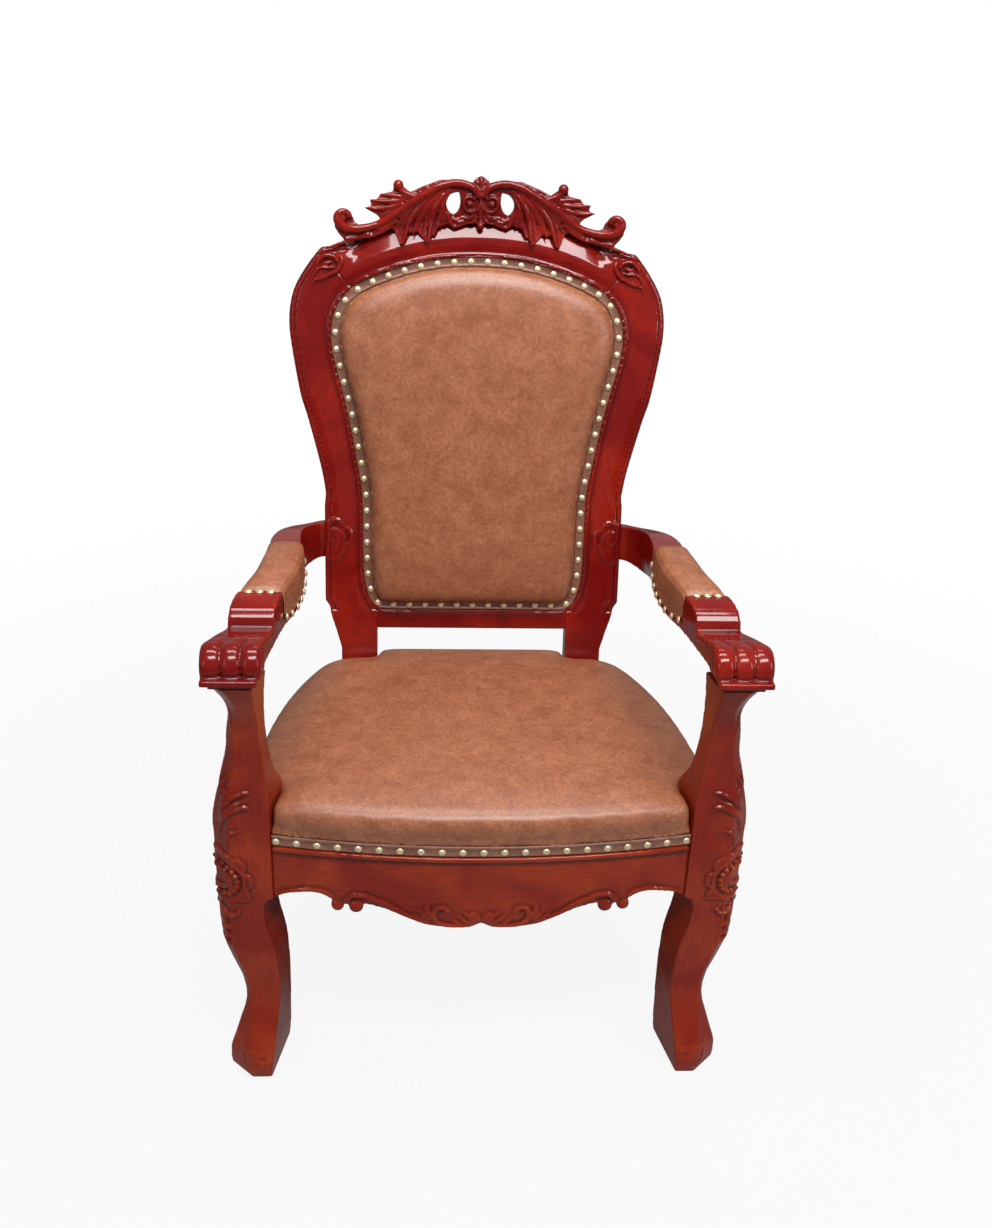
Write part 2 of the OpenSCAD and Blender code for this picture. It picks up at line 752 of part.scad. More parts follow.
arm_inner = smooth([
    [off(0), -0.13 * block_y], [off(-0.08), 0.65 * block_y], [off(-0.15), pad_at(-0.15)],
    [off(-0.23), pad_at(0.07)], [off(-0.36), pad_at(0.29)], [off(-0.42), pad_at(0.53)],
    [off(-0.41), pad_at(0.78)], [off(-0.34), pad_at(1)], [off(-0.27), pad_at(1.27)],
    [off(-0.24), arm_end_y - 1.19 * hand_w], [arm_side + 0.31 * hand_w, arm_end_y - 0.68 * hand_w],
    [arm_side + 0.16 * hand_w, arm_end_y - 0.32 * hand_w], [arm_side, arm_end_y - 0.19 * hand_w]
], 4);
arm_top = concat(
    smooth([[-8, pad_seat - 4], [20, pad_seat - 3], [45, pad_seat - 7], [block_y, pad_seat - 10]], 3),
    smooth([
        [block_y + 4, pad_seat + 2], [block_y + 14, pad_seat + block_h - 5],
        [block_y + 32, pad_seat + block_h - 1], [pad_start, pad_seat + block_h]
    ], 3),
    [[pad_start + 0.1, pad_seat], [pad_end + 2, pad_seat + 2]],
    smooth([
        [pad_end + 40, pad_seat - 2], [arm_end_y - 98, pad_seat - 8],
        [arm_end_y - 58, pad_seat - 16], [arm_end_y - 18, arm_end_low + arm_end_h + 3],
        [arm_end_y + 18, arm_end_low + arm_end_h - 4]
    ], 3)
);
arm_under = concat(
    [[-8, hand_z], [24, hand_z]],
    smooth([
        [60, hand_z - 2], [150, hand_z - 7], [240, hand_z - 8], [pad_end, hand_z - 14],
        [arm_end_y - 134, arm_end_low + 24], [arm_end_y - 84, arm_end_low + 8],
        [arm_end_y - 44, arm_end_low + 2], [arm_end_y + 18, arm_end_low]
    ], 3)
);

// One rolled lobe of the hand, its axis across the arm
module lobe(x, w) {
    r = lobe_r;
    edge = 0.32 * w;
    translate([x, -8, hand_z + 7]) rotate([0, 90, 0]) rotate_extrude($fn = 48)
        polygon(concat([[0, -w / 2]], [for (a = [-90 : 22.5 : 0]) [r - edge + edge * cos(a), -w / 2 + edge + edge * sin(a)]],
            [for (a = [0 : 22.5 : 90]) [r - edge + edge * cos(a), w / 2 - edge + edge * sin(a)]], [[0, w / 2]]));
}

module arm(left) {
    lobe_w = hand_w / 3;
    color(wood) placed() sided(left) difference() {
        union() {
            intersection() {
                layer(rail_top, pad_seat + block_h + cut)
                    polygon(concat(arm_outer, reversed(arm_inner)));
                slice(arm_side, post_in + 2 * hand_w) polygon(concat(arm_top, reversed(arm_under)));
            }
            difference() {
                for (i = [0 : 2]) lobe(post_in - 1 + lobe_w * (i + 0.5), lobe_w + 0.5);
                layer(hand_z - 60, hand_z) translate([post_in - 20, -80]) square([hand_w + 40, 160]);
            }
            layer(post_top, hand_z) translate([post_in + 4, -plate_reach])
                square([hand_w - 6, plate_reach + 24]);
        }
        arm_front_dowel() dowel_hole();
        arm_end_dowels() dowel_hole();
        arm_nail_places() nail_hole();
    }
}

module arm_left() {
    arm(true);
}

module arm_right() {
    arm(false);
}

// Arm pads: foam on the wood, and leather drawn over it and down the sides

// Stations along the pad: share of its length, share of its crown, depth of the sides
pad_stations = smooth([
    [0, 0.58, 18], [0.05, 0.8, 24], [0.18, 0.95, 29], [0.4, 1, 29], [0.6, 0.98, 27],
    [0.8, 0.84, 19], [0.93, 0.55, 9], [1, 0.25, 3]
], 2);
function pad_y(f) = pad_start + 0.4 + f * (pad_len - 0.8);
function arm_x(p, y) = cross_x(p, y);

// Arch over the arm at station q, standing g outside the wood and t above it
function pad_arch(q, g, t) = let (
    y = pad_y(q[0]), a = arm_x(arm_inner, y) - g, b = arm_x(arm_outer, y) + g,
    h = q[1] * pad_crown + t
) [for (k = [0 : 8]) let (u = 180 * k / 8, c = cos(u), s = sin(u))
    [(a + b) / 2 - (b - a) / 2 * sign(c) * pow(abs(c), 0.6), y,
     wood_top(y) + h * pow(abs(s), 0.6)]];
function wood_top(y) = level(arm_top, y);
function draped(q, g, t) = let (
    y = pad_y(q[0]), a = arm_x(arm_inner, y) - g, b = arm_x(arm_outer, y) + g,
    z = wood_top(y) - q[2]
) concat([[a, y, z]], pad_arch(q, g, t), [[b, y, z]]);

// A closed skin through equal rings, each end closed by a fan about its middle.
// The first rows are split the other way, so that a lining matches what it holds.
function middle(r) = [for (q = r) 1] * r / len(r);
module loft(rings, lining = 0) {
    n = len(rings[0]);
    m = len(rings);
    polyhedron(
        points = concat([for (r = rings) each r], [middle(rings[0]), middle(rings[m - 1])]),
        faces = concat(
            [for (i = [0 : n - 1]) [m * n, (i + 1) % n, i]],
            [for (k = [0 : m - 2], i = [0 : n - 1]) let (a = k * n + i, b = k * n + (i + 1) % n)
                each k < lining ? [[a, b, a + n], [b, b + n, a + n]] : [[a, b, b + n], [a, b + n, a + n]]],
            [for (i = [0 : n - 1]) [m * n + 1, (m - 1) * n + i, (m - 1) * n + (i + 1) % n]]
        )
    );
}

// A skin between two draped sheets, each given as rows of equal length
module skin(inside, outside) {
    rows = [for (k = [0 : len(inside) - 1]) concat(inside[k], reversed(outside[k]))];
    n = len(rows[0]);
    m = len(rows);
    half = n / 2;
    polyhedron(
        points = [for (r = rows) each r],
        faces = concat(
            [for (i = [0 : half - 2]) [i, n - 1 - i, n - 2 - i, i + 1]],
            [for (k = [0 : m - 2], i = [0 : n - 1]) let (a = k * n + i, b = k * n + (i + 1) % n)
                each [[a, b, b + n], [a, b + n, a + n]]],
            [for (i = [0 : half - 2], a = [(m - 1) * n]) [a + i, a + i + 1, a + n - 2 - i, a + n - 1 - i]]
        )
    );
}

module arm_pad(left) {
    color(foam_colour) placed() sided(left)
        loft([for (q = pad_stations) reversed(concat(
            [[arm_x(arm_inner, pad_y(q[0])) + 1, pad_y(q[0]), wood_top(pad_y(q[0])) + soft_gap]],
            [for (p = pad_arch(q, -1, -leather_t - soft_gap)) p + [0, 0, soft_gap + 0.3]],
            [[arm_x(arm_outer, pad_y(q[0])) - 1, pad_y(q[0]), wood_top(pad_y(q[0])) + soft_gap]]))]);
}

module arm_pad_left() {
    arm_pad(true);
}

module arm_pad_right() {
    arm_pad(false);
}

module arm_cover(left) {
    color(leather) placed() sided(left) skin(
        [for (q = pad_stations) draped(q, soft_gap, soft_gap)],
        [for (q = pad_stations) draped(q, soft_gap + leather_t, soft_gap + leather_t)]
    );
}

module arm_cover_left() {
    arm_cover(true);
}

module arm_cover_right() {
    arm_cover(false);
}

// Seat upholstery

// Ring of the seat cushion: bulge b, scale k to the centre, height z, inset d
function seat_ring(b, k, z, d) = [for (i = [0 : len(seat_loop) - 1]) let (
    q = seat_plan[i], n = loop_normal(seat_plan, i),
    e = q + n * (b * seat_bulge * seat_loop[i][2] - d),
    r = seat_centre + (e - seat_centre) * k
) [r[0], r[1], z]];

// Rings of the cushion, clockwise from above, from its lower edge to near the centre
function seat_rings(d, low) = let (side = seat_side - d, top = seat_crown - d) [for (r = [
    seat_ring(0, 1, seat_z + low, d),
    seat_ring(0.8, 1, seat_z + 0.36 * side, d),
    seat_ring(1, 1, seat_z + 0.64 * side, d),
    seat_ring(0.6, 1, seat_z + 0.88 * side, d),
    seat_ring(0, 0.985, seat_z + side, d),
    seat_ring(0, 0.93, seat_z + side + 0.3 * (top - side), d),
    seat_ring(0, 0.8, seat_z + side + 0.62 * (top - side), d),
    seat_ring(0, 0.5, seat_z + side + 0.9 * (top - side), d),
    seat_ring(0, 0.2, seat_z + top, d)
]) reversed(r)];

module seat_cover() {
    color(leather) placed()
        loft(concat(reversed(seat_rings(leather_t, soft_gap)), seat_rings(0, soft_gap)), 8);
}

module seat_foam() {
    d = leather_t + soft_gap;
    color(foam_colour) placed() loft(seat_rings(d, board_t + soft_gap));
}

module seat_board() {
    color(hidden_wood) placed() difference() {
        layer(seat_z, seat_z + board_t) polygon(grown(seat_plan, -leather_t - soft_gap));
        both_sides() board_screws() screw_hole();
    }
}

module dust_cover() {
    color("#262422") placed() layer(block_low - 1, block_low)
        polygon(both_halves(inside_half(soft_gap)));
}

// Open runs of the seat's edge that carry the band: front, sides, back
front_run = [for (i = [-12 : 12]) let (x = (post_in - soft_gap) * i / 12) [x, front_line(x)]];
side_run = [for (i = [0 : len(side_path) - 1])
    [side_path[i][0], min(max(side_path[i][1], leg_depth + soft_gap), seat_depth - soft_gap)]];
back_run = [[stile_half_gap - soft_gap, back_rail_back - rebate_d],
    [soft_gap - stile_half_gap, back_rail_back - rebate_d]];

module band_run(run) {
    layer(rail_top + soft_gap, seat_z)
        polygon(concat(shifted(run, band_t), reversed(shifted(run, 0))));
}

module seat_trim_band() {
    color(leather_dark) placed() difference() {
        union() {
            band_run(front_run);
            band_run(back_run);
            both_sides() band_run([for (q = side_run) q]);
        }
        seat_front_nails() nail_hole();
        seat_back_nails() nail_hole();
        both_sides() seat_side_nails() nail_hole();
    }
}

// Back upholstery

function back_ring(k, d, n) = let (c = [0, 0.55 * panel_top]) [
    for (q = grown(nail_loop, band_w / 2 + soft_gap + d)) let (r = c + (q - c) * k) [r[0], n, r[1]]
];

// Rings of the back cushion from the board to near its centre, inset d
function back_rings(d, edge) = let (n0 = panel_rebate - back_board_t, h = back_crown - d) [
    back_ring(1, d, n0 - edge),
    back_ring(1, d - 0.5, n0 - 0.3 * h),
    back_ring(0.992, d, n0 - 0.5 * h),
    back_ring(0.965, d, n0 - 0.68 * h),
    back_ring(0.9, d, n0 - 0.83 * h),
    back_ring(0.75, d, n0 - 0.94 * h),
    back_ring(0.45, d, n0 - h)
];

module back_cover() {
    color(leather) placed() leaned()
        loft(concat(reversed(back_rings(leather_t, soft_gap)), back_rings(0, soft_gap)), 6);
}

module back_foam() {
    d = leather_t + soft_gap;
    color(foam_colour) placed() leaned() loft(back_rings(d, soft_gap));
}

module back_board() {
    color(hidden_wood) placed() difference() {
        leaned() slab(panel_rebate - back_board_t, panel_rebate) polygon(band_outer);
        back_nail_places() nail_hole();
    }
}

module back_trim_band() {
    n0 = panel_rebate - back_board_t;
    color(leather_dark) placed() difference() {
        leaned() slab(n0 - band_t, n0) difference() {
            polygon(band_outer);
            polygon(band_inner);
        }
        back_nail_places() nail_hole();
    }
}

module rear_cover() {
    color(leather_dark) placed() difference() {
        leaned() slab(frame_t, frame_t + leather_t) polygon(band_outer);
        rear_nail_places() nail_hole();
    }
}

module rear_trim_band() {
    color(leather_dark) placed() difference() {
        leaned() slab(frame_t + leather_t, frame_t + leather_t + band_t) difference() {
            polygon(band_outer);
            polygon(band_inner);
        }
        rear_nail_places() nail_hole();
    }
}

// Dome nails

// A dome nail, its head's underside at z = 0
module nail() {
    dome_r = (nail_r * nail_r + nail_h * nail_h) / (2 * nail_h);
    intersection() {
        translate([0, 0, nail_h - dome_r]) sphere(r = dome_r);
        cylinder(r = nail_r + cut, h = nail_h + cut);
    }
    translate([0, 0, -shank_l]) cylinder(r = shank_r, h = shank_l + nail_h / 4);
}

module nail_hole() {
    translate([0, 0, -shank_l - hole_end])
        cylinder(r = shank_r + hole_fit, h = shank_l + hole_end + 2 * cut);
}

// Children along an open plan path at even steps near the pitch, heads outwards
module along_run(run, pitch, z, inset) {
    r = running(run);
    total = r[len(r) - 1] - 2 * inset;
    n = max(1, round(total / pitch));
    for (i = [0 : n]) {
        s = inset + total * i / n;
        p = along(run, r, s);
        translate([p[0], p[1], z]) rotate([0, 90, heading(run, r, s) + 180]) children();
    }
}

// Side nails of the right-hand side only
module seat_side_nails() {
    along_run(reversed(shifted(side_run, band_t)), seat_pitch, rail_top + rebate_h / 2, 8) children();
}

module seat_front_nails() {
    along_run(reversed(shifted(front_run, band_t)), seat_pitch, rail_top + rebate_h / 2, 7) children();
}

module seat_back_nails() {
    along_run(reversed(shifted(back_run, band_t)), seat_pitch, rail_top + rebate_h / 2, 8) children();
}

module seat_nails() {
    color(brass) placed() {
        seat_front_nails() nail();
        seat_back_nails() nail();
        both_sides() seat_side_nails() nail();
    }
}

// Children round a closed loop of the back's frame
module round_loop(loop, pitch) {
    path = concat(loop, [loop[0]]);
    r = running(path);
    n = round(r[len(r) - 1] / pitch);
    for (i = [0 : n - 1]) {
        p = along(path, r, r[len(r) - 1] * (i + 0.5) / n);
        translate([p[0], 0, p[1]]) children();
    }
}

module back_nail_places() {
    leaned() translate([0, panel_rebate - back_board_t - band_t, 0])
        round_loop(nail_loop, back_pitch) rotate([90, 0, 0]) children();
}

module back_nails() {
    color(brass) placed() back_nail_places() nail();
}

module rear_nail_places() {
    leaned() translate([0, frame_t + leather_t + band_t, 0])
        round_loop(nail_loop, rear_pitch) rotate([-90, 0, 0]) children();
}

module rear_nails() {
    color(brass) placed() rear_nail_places() nail();
}

// Arm nails: three across the front of the pad, and a row up each lower edge
module arm_nail_places() {
    g = soft_gap + leather_t;
    n = round(0.86 * pad_len / arm_pitch);
    for (side = [0, 1], i = [0 : n]) {
        f = 0.04 + 0.86 * i / n;
        y = pad_y(f);
        edge = side == 0 ? arm_inner : arm_outer;
        x = arm_x(edge, y) + (side == 0 ? -g : g);
        z = wood_top(y) - level(columns(pad_stations, 0, 2), f) - shank_r - hole_fit;
        translate([x, y, z]) rotate([0, side == 0 ? -90 : 90, 0]) children();
    }
    y = pad_start - shank_r - 2;
    for (k = [0.25, 0.5, 0.75])
        translate([(1 - k) * arm_x(arm_inner, y) + k * arm_x(arm_outer, y), y, wood_top(y)]) children();
}

module arm_nails(left) {
    color(brass) placed() sided(left) arm_nail_places() nail();
}

module arm_nails_left() {
    arm_nails(true);
}

module arm_nails_right() {
    arm_nails(false);
}

// Dowels, screws and glides

module dowel() {
    cylinder(r = dowel_r, h = dowel_l, center = true);
}

module dowel_hole() {
    cylinder(r = dowel_r + hole_fit, h = dowel_l + 2 * hole_end, center = true);
}

// Seat rail dowels of the right half: post to front and side rail, stile to side and back rail
module half_rail_dowels() {
    low = side_low + 20;
    high = rail_top - 14;
    for (z = [low + 4, high]) {
        translate([post_face(rail_t / 2), rail_t / 2, z]) rotate([0, 90, post_turn]) children();
        translate([side_mid(leg_depth), leg_depth, z]) rotate([90, 0, 0]) children();
        translate([stile_half_gap, back_rail_front + rail_t / 2, z]) rotate([0, 90, 0]) children();
    }
    for (z = [low + 16, high + 12])
        translate([stile_out - 14, seat_depth, z]) rotate([90, 0, 0]) children();
}

function side_mid(y) = (cross_x(side_face, y) + cross_x(side_inner, y)) / 2;

module rail_dowels() {
    color(hidden_wood) placed() both_sides() half_rail_dowels() dowel();
}

// Back frame dowels of the right half: lower rail to stile, and across the mitre
module half_frame_dowels() {
    leaned() {
        translate([stile_half_gap, frame_t / 2, panel_low - band_w / 2 - low_rail_h / 2])
            rotate([0, 90, 0]) children();
        translate([mitre_in[0] + 24, frame_t / 2 + 5, mitre_in[1] + 24])
            rotate([0, 135, 0]) children();
    }
}

// Dowels up from the top rail into the crest, right half
module crest_dowels() {
    x = 0.48 * panel_half;
    leaned() translate([x, crest_t / 2, panel_top + 51]) children();
}

module back_frame_dowels() {
    color(hidden_wood) placed() both_sides() {
        half_frame_dowels() dowel();
        crest_dowels() dowel();
    }
}

module arm_front_dowel() {
    translate([post_in + 28, -4, post_top]) children();
}

// Dowels along the arm's end, longer in the arm than in the stile
module arm_end_dowels() {
    for (k = [0.3, 0.7])
        translate([arm_side, arm_end_y, arm_end_low + k * arm_end_h])
            rotate([0, 90, -45]) translate([0, 0, 0.14 * dowel_l]) children();
}

module arm_dowels() {
    color(hidden_wood) placed() both_sides() {
        arm_front_dowel() dowel();
        arm_end_dowels() dowel();
    }
}

// Wood screw with its head's top at z = 0, driven down
module screw() {
    rotate_extrude($fn = 24) polygon([[0, -screw_l], [screw_r, -screw_l + 4], [screw_r, -3],
        [2 * screw_r, 0], [0, 0]]);
}

module screw_hole() {
    f = hole_fit;
    rotate_extrude($fn = 24) polygon([[0, -screw_l - hole_end], [screw_r + f, -screw_l - hole_end],
        [screw_r + f, -3 - f], [2 * screw_r + f, -f], [2 * screw_r + f, 60], [0, 60]]);
}

// Screws of the right half's corner blocks, driven along the plan's axes
module block_screws() {
    mid = (block_low + block_top) / 2;
    translate([post_in - 44, rail_t + 18, mid]) rotate([-90, 0, 0]) children();
    translate([stile_half_gap - 22, back_rail_front - 18, mid]) rotate([90, 0, 0]) children();
}

// Screws of the seat board, right half, driven down into the rails
module board_screws() {
    top = seat_z + board_t;
    translate([0.4 * post_in, 0.5 * rail_t - 6, top]) children();
    translate([cross_x(side_path, 0.45 * seat_depth) - rail_t / 2, 0.45 * seat_depth, top]) children();
    translate([0.6 * stile_half_gap, back_rail_front + 0.45 * rail_t, top]) children();
}

module corner_block_screws() {
    color(steel) placed() both_sides() block_screws() screw();
}

module seat_board_screws() {
    color(steel) placed() both_sides() board_screws() screw();
}

module front_glide_place() {
    translate([post_in + 0.42 * foot_w, 0.28 * leg_depth, 0]) children();
}

module back_glide_place() {
    translate([stile_half_gap + 0.52 * stile_w, back_foot_y - back_foot_d / 2, 0]) children();
}

module glide_spike(f) {
    cylinder(r = shank_r + 0.5 + f, h = glide_h + 16 + f);
}

module floor_glides() {
    color("#2b2b2b") placed() both_sides() {
        front_glide_place() glide();
        back_glide_place() glide();
    }
}

module glide() {
    cylinder(r = glide_r, h = glide_h);
    glide_spike(0);
}

front_post_left();
front_post_right();
back_stile_left();
back_stile_right();
top_rail();
crest_carving();
lower_back_rail();
front_seat_rail();
side_seat_rail_left();
side_seat_rail_right();
back_seat_rail();
corner_blocks();
corner_block_screws();
rail_dowels();
back_frame_dowels();
arm_left();
arm_right();
arm_dowels();
floor_glides();
seat_board();
seat_board_screws();
seat_foam();
seat_cover();
seat_trim_band();
seat_nails();
dust_cover();
back_board();
back_foam();
back_cover();
back_trim_band();
back_nails();
rear_cover();
rear_trim_band();
rear_nails();
arm_pad_left();
arm_pad_right();
arm_cover_left();
arm_cover_right();
arm_nails_left();
arm_nails_right();
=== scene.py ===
# %% [markdown]
# A carved armchair in red lacquered hardwood, with nailed leather on its seat, back and arms.
# The construction model gives every place and size. Each carved board starts as a copy of its
# construction solid: raised work is laid on it, the two are fused, and the edges are softened,
# which is what a carver does with gouge and sandpaper. Drawings are in millimetres, with x to the
# sitter's left, and everything else is in metres.

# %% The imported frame
import math
import bmesh
import bpy
from mathutils import Matrix, Vector, kdtree
from mathutils.bvhtree import BVHTree


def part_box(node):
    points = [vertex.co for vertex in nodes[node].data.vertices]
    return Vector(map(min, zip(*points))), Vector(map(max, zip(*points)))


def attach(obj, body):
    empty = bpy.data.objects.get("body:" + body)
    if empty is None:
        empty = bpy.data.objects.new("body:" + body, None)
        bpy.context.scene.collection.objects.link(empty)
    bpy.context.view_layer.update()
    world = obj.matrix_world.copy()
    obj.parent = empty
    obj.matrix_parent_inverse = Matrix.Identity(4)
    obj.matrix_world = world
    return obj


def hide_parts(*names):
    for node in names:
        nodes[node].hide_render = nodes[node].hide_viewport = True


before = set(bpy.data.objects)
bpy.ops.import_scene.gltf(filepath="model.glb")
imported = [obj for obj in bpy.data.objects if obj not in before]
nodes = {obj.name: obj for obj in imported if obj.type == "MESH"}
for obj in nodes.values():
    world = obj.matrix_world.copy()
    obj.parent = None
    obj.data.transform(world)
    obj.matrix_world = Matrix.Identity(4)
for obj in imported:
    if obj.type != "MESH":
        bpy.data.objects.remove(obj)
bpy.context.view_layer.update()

MM = 0.001

# %% [markdown]
# Lacquer over stained hardwood shows a dark fine grain and slow patches where the stain took
# differently, and the carving's hollows get painted shade, darker where a point lies deeper. One node
# group makes the grain and patches and lays on the painted shade; each material gives it its own direction.

# %% Shader helpers
def new_group(name, inputs, outputs):
    group = bpy.data.node_groups.new(name, "ShaderNodeTree")
    for label, kind, value in inputs:
        item = group.interface.new_socket(name=label, in_out="INPUT", socket_type=kind)
        if value is not None:
            item.default_value = value
    for label, kind in outputs:
        group.interface.new_socket(name=label, in_out="OUTPUT", socket_type=kind)
    return group, group.nodes.new("NodeGroupInput"), group.nodes.new("NodeGroupOutput")


def node(tree, kind, **settings):
    made = tree.nodes.new(kind)
    for key, value in settings.items():
        if key in made.inputs:
            made.inputs[key].default_value = value
        else:
            setattr(made, key, value)
    return made


def ramp(tree, source, stops):
    made = tree.nodes.new("ShaderNodeValToRGB")
    elements = made.color_ramp.elements
    for _ in range(len(stops) - len(elements)):
        elements.new(0.5)
    for element, (place, colour) in zip(elements, stops):
        element.position = place
        element.color = (*colour, 1.0) if len(colour) == 3 else colour
    tree.links.new(source, made.inputs[0])
    return made.outputs["Color"]


def mix(tree, factor, a, b, blend="MIX"):
    made = tree.nodes.new("ShaderNodeMix")
    made.data_type = "RGBA"
    made.blend_type = blend
    for socket, value in ((made.inputs[0], factor), (made.inputs[6], a), (made.inputs[7], b)):
        if hasattr(value, "is_linked"):
            tree.links.new(value, socket)
        elif isinstance(value, (int, float)):
            socket.default_value = value
        else:
            socket.default_value = (*value, 1.0)
    return made.outputs[2]


def maths(tree, kind, a, b):
    made = tree.nodes.new("ShaderNodeMath")
    made.operation = kind
    for socket, value in ((made.inputs[0], a), (made.inputs[1], b)):
        if hasattr(value, "is_linked"):
            tree.links.new(value, socket)
        else:
            socket.default_value = value
    return made.outputs[0]


# %% Grain group
def grain_group():
    group, given, out = new_group("Grain", [
        ("Vector", "NodeSocketVector", None), ("Dark", "NodeSocketColor", None),
        ("Middle", "NodeSocketColor", None), ("Light", "NodeSocketColor", None),
        ("Hollow Shade", "NodeSocketFloat", 0.0)],
        [("Color", "NodeSocketColor"), ("Height", "NodeSocketFloat")])
    link = group.links.new
    stretch = node(group, "ShaderNodeMapping")
    stretch.inputs["Scale"].default_value = (60, 60, 5)
    link(given.outputs["Vector"], stretch.inputs["Vector"])
    fibre = node(group, "ShaderNodeTexNoise", Scale=6.0, Detail=6.0, Roughness=0.62, Distortion=0.2)
    link(stretch.outputs[0], fibre.inputs["Vector"])
    patch = node(group, "ShaderNodeTexNoise", Scale=9.0, Detail=2.0, Roughness=0.5, Distortion=0.6)
    link(given.outputs["Vector"], patch.inputs["Vector"])
    fine = ramp(group, fibre.outputs["Fac"], [(0.36, (0, 0, 0)), (0.62, (1, 1, 1))])
    slow = ramp(group, patch.outputs["Fac"], [(0.4, (0, 0, 0)), (0.66, (1, 1, 1))])
    base = mix(group, slow, given.outputs["Middle"], given.outputs["Light"])
    fibred = mix(group, maths(group, "MULTIPLY", fine, 0.3), base, given.outputs["Dark"])
    # Painted shade: the hollow value draws the colour towards the dark tone in the carving's hollows.
    link(mix(group, given.outputs["Hollow Shade"], fibred, given.outputs["Dark"]), out.inputs["Color"])
    link(fibre.outputs["Fac"], out.inputs["Height"])
    return group


GRAIN = grain_group()


# %% Lacquered wood
def lacquer(name, along, dark, middle, light):
    """Lacquered wood whose grain runs along the axis named."""
    material = bpy.data.materials.new(name)
    material.use_nodes = True
    tree = material.node_tree
    link = tree.links.new
    surface = tree.nodes["Principled BSDF"]
    place = node(tree, "ShaderNodeTexCoord")
    turn = node(tree, "ShaderNodeMapping")
    turn.inputs["Rotation"].default_value = {
        "Z": (0, 0, 0), "X": (0, math.pi / 2, 0), "Y": (math.pi / 2, 0, 0)}[along]
    link(place.outputs["Object"], turn.inputs["Vector"])
    # The hollow attribute is painted shade, darker where the carving lies deep under its smoothed surface.
    hollow = node(tree, "ShaderNodeAttribute", attribute_name="hollow")
    grain = tree.nodes.new("ShaderNodeGroup")
    grain.node_tree = GRAIN
    for label, colour in (("Dark", dark), ("Middle", middle), ("Light", light)):
        grain.inputs[label].default_value = (*colour, 1.0)
    link(turn.outputs[0], grain.inputs["Vector"])
    link(hollow.outputs["Fac"], grain.inputs["Hollow Shade"])
    link(grain.outputs["Color"], surface.inputs["Base Color"])
    bump = node(tree, "ShaderNodeBump", Strength=0.08, Distance=0.0004)
    link(grain.outputs["Height"], bump.inputs["Height"])
    link(bump.outputs[0], surface.inputs["Normal"])
    smear = node(tree, "ShaderNodeTexNoise", Scale=14.0, Detail=3.0)
    link(place.outputs["Object"], smear.inputs["Vector"])
    link(ramp(tree, smear.outputs["Fac"], [(0.35, (0.12, 0.12, 0.12)), (0.7, (0.26, 0.26, 0.26))]),
         surface.inputs["Roughness"])
    surface.inputs["Specular IOR Level"].default_value = 0.12
    surface.inputs["Coat Weight"].default_value = 0.55
    surface.inputs["Coat Roughness"].default_value = 0.05
    return material


CHERRY = ((0.045, 0.002, 0.002), (0.19, 0.004, 0.003), (0.30, 0.012, 0.004))
RUSSET = ((0.045, 0.003, 0.001), (0.25, 0.014, 0.004), (0.36, 0.036, 0.007))
UPPER = {axis: lacquer("cherry_lacquer_" + axis.lower(), axis, *CHERRY) for axis in "XYZ"}
LOWER = {axis: lacquer("russet_lacquer_" + axis.lower(), axis, *RUSSET) for axis in "XYZ"}
print("lacquers", len(UPPER) + len(LOWER))

# %% [markdown]
# The leather is a brown cowhide with an oiled face: darker specks lie on slow clouds of two tones,
# and fine pores break the shine. The strips under the nails are cut from a darker hide.


# %% Leather
def leather_group():
    group, given, out = new_group("Hide", [
        ("Vector", "NodeSocketVector", None), ("Dark", "NodeSocketColor", None),
        ("Middle", "NodeSocketColor", None), ("Light", "NodeSocketColor", None)],
        [("Color", "NodeSocketColor"), ("Height", "NodeSocketFloat"), ("Roughness", "NodeSocketFloat")])
    link = group.links.new
    cloud = node(group, "ShaderNodeTexNoise", Scale=34.0, Detail=8.0, Roughness=0.72, Distortion=0.5)
    speck = node(group, "ShaderNodeTexNoise", Scale=240.0, Detail=4.0, Roughness=0.7)
    pores = node(group, "ShaderNodeTexVoronoi", Scale=900.0)
    for texture in (cloud, speck, pores):
        link(given.outputs["Vector"], texture.inputs["Vector"])
    blotch = ramp(group, cloud.outputs["Fac"], [(0.38, (0, 0, 0)), (0.62, (1, 1, 1))])
    dots = ramp(group, speck.outputs["Fac"], [(0.42, (0, 0, 0)), (0.66, (1, 1, 1))])
    base = mix(group, blotch, given.outputs["Middle"], given.outputs["Light"])
    link(mix(group, maths(group, "MULTIPLY", dots, 0.55), base, given.outputs["Dark"]), out.inputs["Color"])
    grit = maths(group, "MULTIPLY", speck.outputs["Fac"], 0.5)
    link(maths(group, "ADD", pores.outputs["Distance"], grit), out.inputs["Height"])
    link(maths(group, "MULTIPLY", cloud.outputs["Fac"], 0.2), out.inputs["Roughness"])
    return group


HIDE = leather_group()


def leather(name, dark, middle, light, roughness):
    material = bpy.data.materials.new(name)
    material.use_nodes = True
    tree = material.node_tree
    link = tree.links.new
    surface = tree.nodes["Principled BSDF"]
    place = node(tree, "ShaderNodeTexCoord")
    hide = tree.nodes.new("ShaderNodeGroup")
    hide.node_tree = HIDE
    for label, colour in (("Dark", dark), ("Middle", middle), ("Light", light)):
        hide.inputs[label].default_value = (*colour, 1.0)
    link(place.outputs["Object"], hide.inputs["Vector"])
    link(hide.outputs["Color"], surface.inputs["Base Color"])
    link(maths(tree, "ADD", hide.outputs["Roughness"], roughness), surface.inputs["Roughness"])
    bump = node(tree, "ShaderNodeBump", Strength=0.35, Distance=0.0003)
    link(hide.outputs["Height"], bump.inputs["Height"])
    link(bump.outputs[0], surface.inputs["Normal"])
    surface.inputs["Specular IOR Level"].default_value = 0.6
    return material


